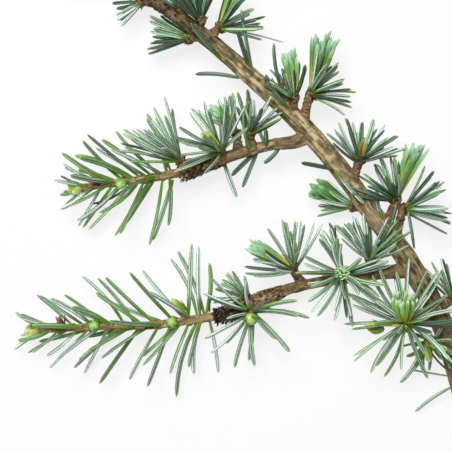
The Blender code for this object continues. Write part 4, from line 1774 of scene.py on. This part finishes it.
@dataclass(frozen=True)
class Pegs:
    """The spurs of one limb: ringed pegs with a collar of scales, and a small bud on each that has no tuft.
    """

    limb: str
    spurs: tuple[Spur, ...]
    sides: int = 26
    step: float = 0.16
    ring_pitch: float = 0.95
    ring_depth: float = 0.13
    ragged: float = 0.9
    collar: int = 18
    collar_out: float = 1.15
    collar_leans: tuple[float, float] = (20.0, 65.0)
    collar_lengths: tuple[float, float] = (1.1, 2.2)
    collar_sizes: tuple[float, float] = (0.7, 1.1)
    shaggy: float = 4.5
    shaggy_out: float = 1.08
    shaggy_leans: tuple[float, float] = (8.0, 30.0)
    shaggy_lengths: tuple[float, float] = (0.8, 1.5)
    shaggy_sizes: tuple[float, float] = (0.5, 0.9)
    inward: float = 0.2

    def build(self, layout: Layout, shift: Array) -> None:
        """Makes one piece of all the limb's pegs.

        Args:
            layout: The routes.
            shift: From the layout to the frame.
        """
        shell = Shell()
        scales: list[Line] = []
        for index, spur in enumerate(self.spurs):
            head = layout.pegs[spur.name][1]
            self.cover(self.route(spur, layout), shell, index)
            scales += self.collar_lines(spur, head)
            if spur.name not in TUFTS:
                kind, face = HEAD_BUDS.get(spur.name, HeadBud()), direction(*spur.face)
                foot = head + face * kind.lift
                bud = Bud(foot, face, kind.length, kind.radius, kind.core.value, kind.scales, kind.count)
                scales += bud.grow(shell, f"{spur.name} bud")
        shell.carry(SCALE, scales)
        settle(shell.make(f"{self.limb}_spur_pegs", shift), "shoot_bark")

    def route(self, spur: Spur, layout: Layout) -> Array:
        """Draws the peg from its limb to just past its head, wide where it leaves the bark.

        Args:
            spur: The spur.
            layout: The routes.

        Returns:
            Points with radii.
        """
        foot, _, thick = place_on(layout.limbs[self.limb], spur.at)
        aim, face = direction(spur.heading, spur.rise), direction(*spur.face)
        head = layout.pegs[spur.name][1]
        rows = (
            (*(foot + aim * thick * 0.5), 2.0),
            (*(foot + aim * (thick + 0.1 * spur.peg)), 1.5),
            (*(foot + aim * (thick + 0.55 * spur.peg)), 1.14),
            (*(head - aim * 0.5), 1.42),
            (*(head + face * 0.4), 1.30),
            (*(head + face * 0.9), 0.75),
        )
        return smooth_route(rows, self.step)

    def cover(self, route: Array, shell: Shell, seed: int) -> None:
        """Covers a peg with ragged rings: the radius climbs along each ring and drops back at its edge.

        Args:
            route: The peg.
            shell: The piece.
            seed: Picks the noise.
        """
        marks, angles = lattice(route, self.step, self.sides)
        s, turn = marks[:, None], angles[None, :] / (2 * math.pi)
        ragged = noise(s / 2.2, turn * 7, 7, 900 + seed)
        fine = noise(s / 0.3, turn * 14, 14, 950 + seed)
        strands = noise(s / 1.6, turn * 12, 12, 930 + seed)
        ring = np.mod(s / self.ring_pitch + self.ragged * ragged, 1.0)
        relief = np.clip(ring * 0.4 + 0.3 * (0.5 + 0.5 * fine) + 0.3 * (0.5 + 0.5 * strands), 0.0, 1.0)
        swell = self.ring_depth * (relief - 0.5)
        fields = {"relief": relief, "patch": 0.5 + 0.5 * ragged}
        shell.add(sheath(route, (marks, angles), swell, shell.finish_index(BarkSort.SPUR.value), fields))

    def collar_lines(self, spur: Spur, head: Array) -> Iterator[Line]:
        """Sets a collar of scales round the head, under the needles.

        Args:
            spur: The spur.
            head: Its head.

        Yields:
            The scales' lines.
        """
        chance = random.Random(f"{spur.name} collar")
        face, aim = direction(*spur.face), direction(spur.heading, spur.rise)
        side, lift = across(face)
        sorts = (ScaleSort.BROWN, ScaleSort.UMBER, ScaleSort.COPPER, ScaleSort.UMBER, ScaleSort.CUSHION)
        for index in range(self.collar):
            turn = math.radians(index * GOLDEN_ANGLE)
            out = turned(side, lift, turn)
            lean = math.radians(chance.uniform(*self.collar_leans))
            along = unit(turned(face, out, lean))
            root = head - aim * (0.2 + 1.0 * chance.random()) + out * self.collar_out
            long = chance.uniform(*self.collar_lengths)
            size = chance.uniform(*self.collar_sizes)
            finish = chance.choice(sorts).value
            yield Line(root, along, long, -out * self.inward * long, out, size, chance.random(), finish)
        side, lift = across(aim)
        for index in range(round(self.shaggy * spur.peg)):
            turn = math.radians(index * GOLDEN_ANGLE + chance.uniform(-25.0, 25.0))
            out = turned(side, lift, turn)
            lean = math.radians(chance.uniform(*self.shaggy_leans))
            along = unit(turned(aim, out, lean))
            root = head - aim * (0.8 + 0.85 * spur.peg * chance.random()) + out * self.shaggy_out
            long = chance.uniform(*self.shaggy_lengths)
            finish = chance.choice(sorts).value
            size = chance.uniform(*self.shaggy_sizes)
            yield Line(root, along, long, -out * self.inward * long, out, size, chance.random(), finish)


@dataclass(frozen=True)
class Limb:
    """A limb and the old scales that stay on it."""

    name: str
    rows: Rows
    bark: Bark
    slot: str
    sleeves: tuple[Sleeve, ...] = ()
    cut: bool = False
    step: float = 0.5

    def build(self, shift: Array) -> None:
        """Makes the bark, and one piece of all the scales.

        Args:
            shift: From the layout to the frame.
        """
        route = smooth_route(self.rows, self.step)
        shell = Shell()
        self.bark.cover(route, shell, self.cut)
        settle(shell.make(f"{self.name}_bark", shift), self.slot, (self.name,))
        if self.sleeves:
            scales = Shell()
            scales.carry(SCALE, (line for sleeve in self.sleeves for line in sleeve.lines(self.name, route)))
            settle(scales.make(f"{self.name}_scales", shift), "shoot_bark")


@dataclass(frozen=True)
class Shoot:
    """A long shoot: its twig with a cushion under each needle, its needles and its buds."""

    shoot: LongShoot
    needles: list[Needle]
    bark: Bark
    light: Light
    width: float = 1.16
    thin: float = 0.55
    sunk: float = 2.2
    step: float = 0.4
    cushion_length: float = 1.5

    def build(self, shift: Array) -> None:
        """Makes the twig, the needles and the buds.

        Args:
            shift: From the layout to the frame.
        """
        name = self.shoot.name
        route = smooth_route(self.shoot.rows, self.step)
        chance = random.Random(f"{name} looks")
        twig = Shell()
        back = unit(route[0, :3] - route[1, :3]) * self.sunk
        self.bark.cover(np.vstack((np.append(route[0, :3] + back, route[0, 3]), route)), twig)
        twig.carry(CUSHION, self.cushions(route, chance))
        settle(twig.make(f"{name}_twig", shift), "shoot_bark")
        leaves = Shell()
        axis = unit(route[-1, :3] - route[0, :3])
        buds_here = list(self.buds(route))
        lines = [
            needle_line(each, axis, chance, self.light.value.pick(chance), self.wide(each))
            for each in self.needles
            if not any(bud.under(each) for bud in buds_here)
        ]
        leaves.carry(NEEDLE, lines)
        settle(leaves.make(f"{name}_needles", shift), "needles", (name,))
        buds = Shell()
        scales: list[Line] = []
        for index, bud in enumerate(buds_here):
            scales += bud.grow(buds, f"{name} bud {index}")
        buds.carry(BUD_SCALE, scales)
        settle(buds.make(f"{name}_buds", shift), "needles")

    def wide(self, needle: Needle) -> float:
        """Returns the width of a needle's blade: the short ones towards the tip are thin."""
        return self.width * (self.thin + (1.0 - self.thin) * needle.length / self.shoot.reach)

    def cushions(self, route: Array, chance: random.Random) -> Iterator[Line]:
        """Sets a leaf cushion on the bark below the root of each needle.

        Args:
            route: The twig.
            chance: Source of the shakes.

        Yields:
            The cushions' lines.
        """
        walked = distances(route)
        for needle in self.needles:
            near = int(np.argmin(np.linalg.norm(route[:, :3] - needle.root, axis=1)))
            point, axis, radius = place_on(route, walked[near])
            out = unit(needle.root - point + needle.aim * 0.3 - axis * np.dot(needle.aim, axis) * 0.3)
            root = point + out * (radius - 0.10) - axis * 0.9
            aim = unit(axis + out * 0.28)
            sort = ScaleSort.CUSHION.value
            size = chance.uniform(0.9, 1.3)
            yield Line(root, aim, self.cushion_length, out * 0.0, out, size, chance.random(), sort)

    def buds(self, route: Array) -> Iterator[Bud]:
        """Lists the bud on the tip and those on the sides.

        Args:
            route: The twig.

        Yields:
            The buds.
        """
        shoot = self.shoot
        point, axis, _ = place_on(route, distances(route)[-1])
        kinds = (ScaleSort.BUD, ScaleSort.BUD, ScaleSort.GREEN)
        yield Bud(point - axis * 0.4, axis, 4.5, 1.72, ScaleSort.BUD.value, kinds, count=12)
        for centre, out, along in shoot.side_bud_places(route):
            aim = unit(out + 0.45 * along)
            foot = centre - aim * 1.55
            green = ScaleSort.GREEN
            yield Bud(foot, aim, 3.15, 1.6, green.value, (green,), count=5, scale_size=1.25, lift_off=0.0)


@dataclass(frozen=True)
class SingleNeedle:
    """A needle listed with its place on the wood, and how far it bows away from straight."""

    root: tuple[float, float, float]
    tip: tuple[float, float, float]
    bow: float
    sort: Sort
    width: float = 0.92

    def line(self, chance: random.Random) -> Line:
        """Draws it as a parabola from root to tip, bowed upwards.

        Args:
            chance: Source of the shakes.

        Returns:
            Its middle line.
        """
        start, end = np.array(self.root), np.array(self.tip)
        side, lift = across(unit(end - start))
        curl = -(lift + side * chance.uniform(-0.6, 0.6)) * self.bow
        whole = end - start - curl
        needle = Needle(start, unit(whole), float(np.linalg.norm(whole)), curl)
        return needle_line(needle, lift, chance, self.sort, self.width)


class SingleNeedles:
    """The needles that stand alone."""

    rows: tuple[SingleNeedle, ...] = (
        SingleNeedle((7.3, 43.1, 14.2), (4.2, 59.9, 17.0), 0.9, Sort.DEEP),
        SingleNeedle((6.6, 43.7, 14.2), (3.2, 54.0, 17.5), 0.8, Sort.DEEP),
        SingleNeedle((-1.1, 46.6, 14.2), (-9.8, 56.3, 15.6), 1.1, Sort.DEEP),
        SingleNeedle((3.9, 41.2, 12.2), (-8.7, 42.4, 10.8), 0.7, Sort.DEEP),
        SingleNeedle((17.9, 32.0, 14.8), (10.9, 41.9, 17.2), 0.5, Sort.DEEP),
        SingleNeedle((15.9, 34.4, 14.6), (12.6, 41.0, 16.4), 0.4, Sort.MATURE),
        SingleNeedle((15.6, 37.4, 15.0), (13.2, 50.4, 18.0), 0.5, Sort.DEEP),
        SingleNeedle((30.0, 15.8, 13.2), (20.9, 17.6, 12.4), 0.8, Sort.DEEP),
        SingleNeedle((5.9, 21.6, 14.0), (2.8, 33.0, 19.0), 0.6, Sort.DEEP),
        SingleNeedle((6.7, 21.3, 14.2), (4.8, 31.9, 20.0), 0.6, Sort.GRASS),
        SingleNeedle((11.2, 22.1, 13.8), (10.9, 26.8, 16.5), 0.2, Sort.DEEP),
        SingleNeedle((11.2, 22.6, 13.6), (7.6, 35.0, 18.0), 1.0, Sort.BLUE),
        SingleNeedle((30.2, 15.6, 15.0), (38.1, 6.2, 16.8), 0.9, Sort.BLUE),
        SingleNeedle((43.6, 1.4, 13.4), (41.8, 10.4, 15.6), 0.6, Sort.MATURE),
        SingleNeedle((52.6, -6.4, 11.4), (50.7, 4.4, 12.4), 0.7, Sort.DEEP),
        SingleNeedle((44.9, -2.0, 13.6), (47.6, 8.2, 15.0), 0.4, Sort.DEEP),
        SingleNeedle((-0.6, 18.0, 10.2), (3.1, 8.0, 9.4), 0.7, Sort.BLUE),
        SingleNeedle((8.9, 21.0, 11.4), (1.5, 14.0, 9.6), 0.5, Sort.DEEP),
        SingleNeedle((8.9, 21.0, 11.2), (4.6, 10.7, 9.0), 0.6, Sort.DEEP),
        SingleNeedle((15.1, 22.2, 11.8), (10.6, 17.5, 10.6), 0.3, Sort.DEEP),
        SingleNeedle((-26.7, 11.8, 8.6), (-38.0, 6.2, 7.2), 1.3, Sort.DEAD, 0.55),
        SingleNeedle((-14.8, 13.2, 9.8), (-20.7, -4.2, 6.2), 2.6, Sort.MATURE),
        SingleNeedle((-10.6, -25.8, 9.2), (-9.5, -4.8, 12.4), 0.7, Sort.MATURE),
        SingleNeedle((-7.3, -25.2, 9.4), (-7.6, -5.4, 14.2), 1.3, Sort.BLUE),
        SingleNeedle((-5.6, -24.6, 9.2), (-4.7, -10.2, 10.4), 0.5, Sort.GRASS),
        SingleNeedle((-4.6, -24.2, 9.6), (-4.2, -18.4, 11.0), 0.2, Sort.DEEP, 0.6),
        SingleNeedle((-8.1, -26.9, 8.0), (-14.0, -48.6, 5.2), 1.0, Sort.MATURE),
        SingleNeedle((-7.3, -26.9, 8.2), (-9.0, -42.0, 6.0), 0.7, Sort.BLUE),
        SingleNeedle((63.8, -45.8, 4.2), (53.8, -53.0, 2.4), 1.6, Sort.THREAD, 0.7),
        SingleNeedle((63.6, -42.6, 4.6), (52.0, -40.8, 3.2), 0.6, Sort.THREAD, 0.45),
        SingleNeedle((-0.6, 54.8, 12.8), (16.4, 51.0, 12.0), -1.6, Sort.THREAD, 0.45),
        SingleNeedle((56.4, -33.6, 9.4), (62.8, -40.8, 7.4), 0.5, Sort.DEAD, 0.55),
        SingleNeedle((55.2, -33.7, 9.4), (49.2, -44.4, 5.4), 0.4, Sort.BLUE),
        SingleNeedle((55.6, -33.9, 9.3), (55.7, -40.9, 6.0), 0.3, Sort.MATURE),
        SingleNeedle((50.2, -27.8, 16.4), (37.6, -27.0, 19.4), 0.5, Sort.YELLOW, 0.85),
        SingleNeedle((54.9, -32.4, 11.7), (56.8, -38.0, 12.0), 0.4, Sort.LIME, 1.5),
        SingleNeedle((55.9, -32.2, 13.4), (61.6, -34.4, 13.2), 0.3, Sort.LIME, 1.2),
        SingleNeedle((49.6, -28.2, 13.4), (44.6, -42.8, 5.6), 0.3, Sort.GRASS, 0.8),
    )

    def build(self, shift: Array) -> None:
        """Makes one piece of them.

        Args:
            shift: From the layout to the frame.
        """
        shell = Shell()
        chance = random.Random("single")
        shell.carry(NEEDLE, [row.line(chance) for row in self.rows])
        settle(shell.make("single_needles", shift), "needles")


@dataclass(frozen=True)
class SingleBud:
    """A bud on a limb: its foot, heading and rise, size and looks. An open one is a sheaf of loose scales.

    The egg of a closed one wears the first of its sorts of scale.
    """

    foot: tuple[float, float, float]
    heading: float
    rise: float
    length: float
    radius: float
    scales: tuple[ScaleSort, ...]
    count: int
    open: bool = False
    loose_leans: tuple[float, float] = (4.0, 34.0)
    loose_lengths: tuple[float, float] = (0.6, 1.0)
    loose_sizes: tuple[float, float] = (0.6, 1.0)
    loose_curl: float = 0.15
    loose_out: float = 0.4

    def lines(self, shell: Shell, seed: str) -> list[Line]:
        """Adds the egg of a closed bud to the shell, and lists the scales of either kind.

        Args:
            shell: The piece.
            seed: Picks the shakes.

        Returns:
            The scales' lines.
        """
        foot, axis = np.array(self.foot), direction(self.heading, self.rise)
        if not self.open:
            core = self.scales[0].value
            return Bud(foot, axis, self.length, self.radius, core, self.scales, self.count).grow(shell, seed)
        chance = random.Random(seed)
        side, lift = across(axis)
        lines = []
        for index in range(self.count):
            turn = math.radians(index * GOLDEN_ANGLE)
            lean = math.radians(chance.uniform(*self.loose_leans))
            out = turned(side, lift, turn)
            aim = unit(turned(axis, out, lean))
            long = self.length * chance.uniform(*self.loose_lengths)
            root = foot + out * self.radius * self.loose_out
            finish = chance.choice(self.scales).value
            size = chance.uniform(*self.loose_sizes)
            curl = out * self.loose_curl * long
            lines.append(Line(root, aim, long, curl, out, size, chance.random(), finish))
        return lines


class SingleBuds:
    """The buds that stand alone."""

    rows: tuple[SingleBud, ...] = (
        SingleBud((-10.7, -25.2, 9.6), 132.0, 22.0, 7.4, 1.2, (ScaleSort.LIME, ScaleSort.TAN), 9),
        SingleBud((15.6, 38.0, 14.6), 92.0, 20.0, 3.2, 0.7, (ScaleSort.TAN, ScaleSort.BUD), 5),
        SingleBud((43.8, -28.6, 16.2), 170.0, 2.0, 5.4, 1.5, (ScaleSort.OLIVE, ScaleSort.LIME), 6),
        SingleBud((-45.6, -28.4, 8.2), 132.0, 34.0, 3.8, 1.1, (ScaleSort.BROWN, ScaleSort.COPPER), 13, True),
        SingleBud((-35.6, 11.7, 9.0), 128.0, 30.0, 2.8, 0.9, (ScaleSort.BROWN, ScaleSort.COPPER), 9, True),
    )

    def build(self, shift: Array) -> None:
        """Makes one piece of them.

        Args:
            shift: From the layout to the frame.
        """
        shell = Shell()
        lines: list[Line] = []
        for index, row in enumerate(self.rows):
            lines += row.lines(shell, f"single bud {index}")
        shell.carry(BUD_SCALE, lines)
        settle(shell.make("single_buds", shift), "needles")


# Floor, light and camera


@dataclass(frozen=True)
class Stage:
    """A plain pale floor, soft light from all round, a wide lamp nearly overhead, and the camera."""

    focus: tuple[float, float, float]
    height: float = 450.0
    field_width: float = 126.56
    sensor: float = 36.0
    floor_size: float = 3.0
    floor_tone: float = 0.16
    floor_glow: float = 0.795
    sky: float = 0.15
    key_power: float = 7.3
    fill_power: float = 1.2

    def build(self) -> None:
        """Sets up the floor, the lights, the camera and the view settings."""
        self.build_floor()
        self.build_lights()
        self.build_camera()
        bpy.context.scene.view_settings.view_transform = "Standard"
        LOG.info("stage: floor, two lamps and the camera")

    def build_floor(self) -> None:
        """Makes the floor: a square of the plane z = 0 with a paper grain."""
        half = self.floor_size / 2
        mesh = bpy.data.meshes.new("floor")
        corners = np.array(((-1, -1, 0), (1, -1, 0), (1, 1, 0), (-1, 1, 0))) * (half, half, 0.0)
        mesh.from_pydata(corners.tolist(), [], [(0, 1, 2, 3)])
        recipe = Recipe("floor_paper", 0.9, 0.1)
        tone = recipe.grain(40.0)
        grey = (self.floor_tone,) * 3 + (1.0,)
        paler = (self.floor_tone * 1.02,) * 3 + (1.0,)
        recipe.colour(recipe.mix(tone, grey, paler))
        recipe.surface.inputs["Emission Color"].default_value = (1.0, 1.0, 1.0, 1.0)
        recipe.surface.inputs["Emission Strength"].default_value = self.floor_glow
        mesh.materials.append(recipe.material)
        floor = bpy.data.objects.new("floor", mesh)
        bpy.context.scene.collection.objects.link(floor)

    def build_lights(self) -> None:
        """Adds an even sky, a wide key lamp nearly overhead and a weak one from the lower left."""
        world = bpy.data.worlds.new("sky")
        world.use_nodes = True
        sky = world.node_tree.nodes["Background"]
        sky.inputs["Color"].default_value = (1.0, 1.0, 1.0, 1.0)
        sky.inputs["Strength"].default_value = self.sky
        bpy.context.scene.world = world
        middle = np.array(self.focus) * (1.0, 1.0, 0.0)
        for name, place, power, size in (
            ("key_lamp", (-0.10, 0.26, 0.78), self.key_power, 0.36),
            ("fill_lamp", (-0.7, -0.4, 0.6), self.fill_power, 0.8),
        ):
            lamp = bpy.data.lights.new(name, "AREA")
            lamp.energy = power
            lamp.size = size
            holder = bpy.data.objects.new(name, lamp)
            holder.location = middle + place
            aim = Vector(-np.array(place))
            holder.rotation_euler = aim.to_track_quat("-Z", "Y").to_euler()
            bpy.context.scene.collection.objects.link(holder)

    def build_camera(self) -> None:
        """Hangs the camera straight over the focus, with the lens that fits the field into the sensor."""
        data = bpy.data.cameras.new("camera")
        data.sensor_width = self.sensor
        data.lens = self.sensor * self.height / self.field_width
        data.clip_end = 50.0
        camera = bpy.data.objects.new("camera", data)
        camera.location = np.array(self.focus) + (0.0, 0.0, self.height * MM)
        bpy.context.scene.collection.objects.link(camera)
        bpy.context.scene.camera = camera


def side_bark(seed: int) -> Bark:
    """Returns the bark of a side shoot."""
    sizes = {"sides": 48, "step": 0.28, "depth": 0.12, "ridges": 11, "ridge_length": 3.2}
    return Bark(BarkSort.SHOOT, seed, **sizes, scar_pitch=1.9, scar_height=0.30)


def twig_bark(seed: int) -> Bark:
    """Returns the bark of a long shoot's twig."""
    sizes = {"sides": 32, "step": 0.26, "depth": 0.08, "ridges": 8, "ridge_length": 2.6}
    return Bark(BarkSort.TWIG, seed, **sizes, scar_pitch=3.0, scar_height=0.1, dome=1.2)


STEM_DUSK = ((0.0, 34.0, 60.0, 116.0, 142.0), (0.50, 0.36, 0.0, 0.0, 1.0))
FEW_SORTS = (ScaleSort.BROWN, ScaleSort.CUSHION)
TOP_SORTS = (ScaleSort.BROWN, ScaleSort.UMBER)
UPPER_SORTS = (ScaleSort.BROWN, ScaleSort.UMBER, ScaleSort.CUSHION, ScaleSort.UMBER)
LOWER_SORTS = (ScaleSort.BROWN, ScaleSort.CUSHION, ScaleSort.UMBER)
KNOT_SORTS = (ScaleSort.DARK, ScaleSort.DARK, ScaleSort.UMBER)
LIMBS = (
    Limb(
        "main_stem",
        MAIN_STEM,
        Bark(BarkSort.STEM, 11, ridge_length=7.0, dusk=STEM_DUSK),
        "bark",
        (
            Sleeve(40.0, 46.0, 14, FEW_SORTS, lean=(10, 30), length=(0.7, 1.2), size=(0.5, 0.8)),
            Sleeve(138.0, 152.0, 90, TOP_SORTS, lean=(8, 30), length=(0.9, 1.6), size=(0.5, 0.9)),
        ),
        cut=True,
    ),
    Limb(
        "upper_side_shoot",
        UPPER_SIDE_SHOOT,
        side_bark(23),
        "shoot_bark",
        (Sleeve(24.5, 37.6, 430, UPPER_SORTS, (8, 36), (0.8, 1.6), (0.4, 0.85), proud=1.06),),
    ),
    Limb(
        "lower_side_shoot",
        LOWER_SIDE_SHOOT,
        side_bark(37),
        "shoot_bark",
        (
            Sleeve(37.0, 48.0, 300, LOWER_SORTS, (4, 18), (0.8, 1.5), (0.35, 0.7), proud=1.06),
            Sleeve(47.0, 58.6, 420, KNOT_SORTS, (14, 70), (0.8, 1.9), (0.3, 0.7), proud=1.04),
        ),
    ),
)
TWIG_SEEDS = {"leading_shoot": 51, "upper_shoot_tip": 67, "lower_shoot_tip": 79}
# Spurs whose needles take the blend with painted shade: more dark needles than those in front.
SHADED_SPURS = (
    "spur_right_edge",
    "spur_right_low",
    "spur_right_tuft",
    "spur_right_bud",
    "spur_middle_right",
    "spur_middle_left",
    "spur_upper_left",
    "spur_upper_front",
    "spur_upper_middle",
    "spur_top_left",
    "spur_top_right",
    "spur_upper_right",
)
SPUR_LIGHTS = {"spur_small": Light.YOUNG, **dict.fromkeys(SHADED_SPURS, Light.BACK)}


def main() -> None:
    """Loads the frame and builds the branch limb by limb."""
    logging.basicConfig(level=logging.INFO, format="%(name)s: %(message)s")
    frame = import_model()
    cut = frame["record"]["mounts"][0]["pos_m"]
    shift = np.array(cut) / MM - np.array(MAIN_STEM[0][:3])
    layout = Layout()
    for limb in LIMBS:
        limb.build(shift)
        Pegs(limb.name, tuple(spur for spur in SPURS if spur.limb == limb.name)).build(layout, shift)
    for spur in SPURS:
        light = SPUR_LIGHTS.get(spur.name, Light.FRONT)
        Rosette(spur, layout.needles[spur.name], layout.tufts.get(spur.name, []), light).build(shift)
    for shoot in LONG_SHOOTS:
        bark = twig_bark(TWIG_SEEDS[shoot.name])
        Shoot(shoot, layout.needles[shoot.name], bark, Light.SHOOT).build(shift)
    SingleNeedles().build(shift)
    SingleBuds().build(shift)
    Stage((shift[0] * MM, shift[1] * MM, FOCUS_HEIGHT * MM)).build()


if __name__ == "__main__":
    main()
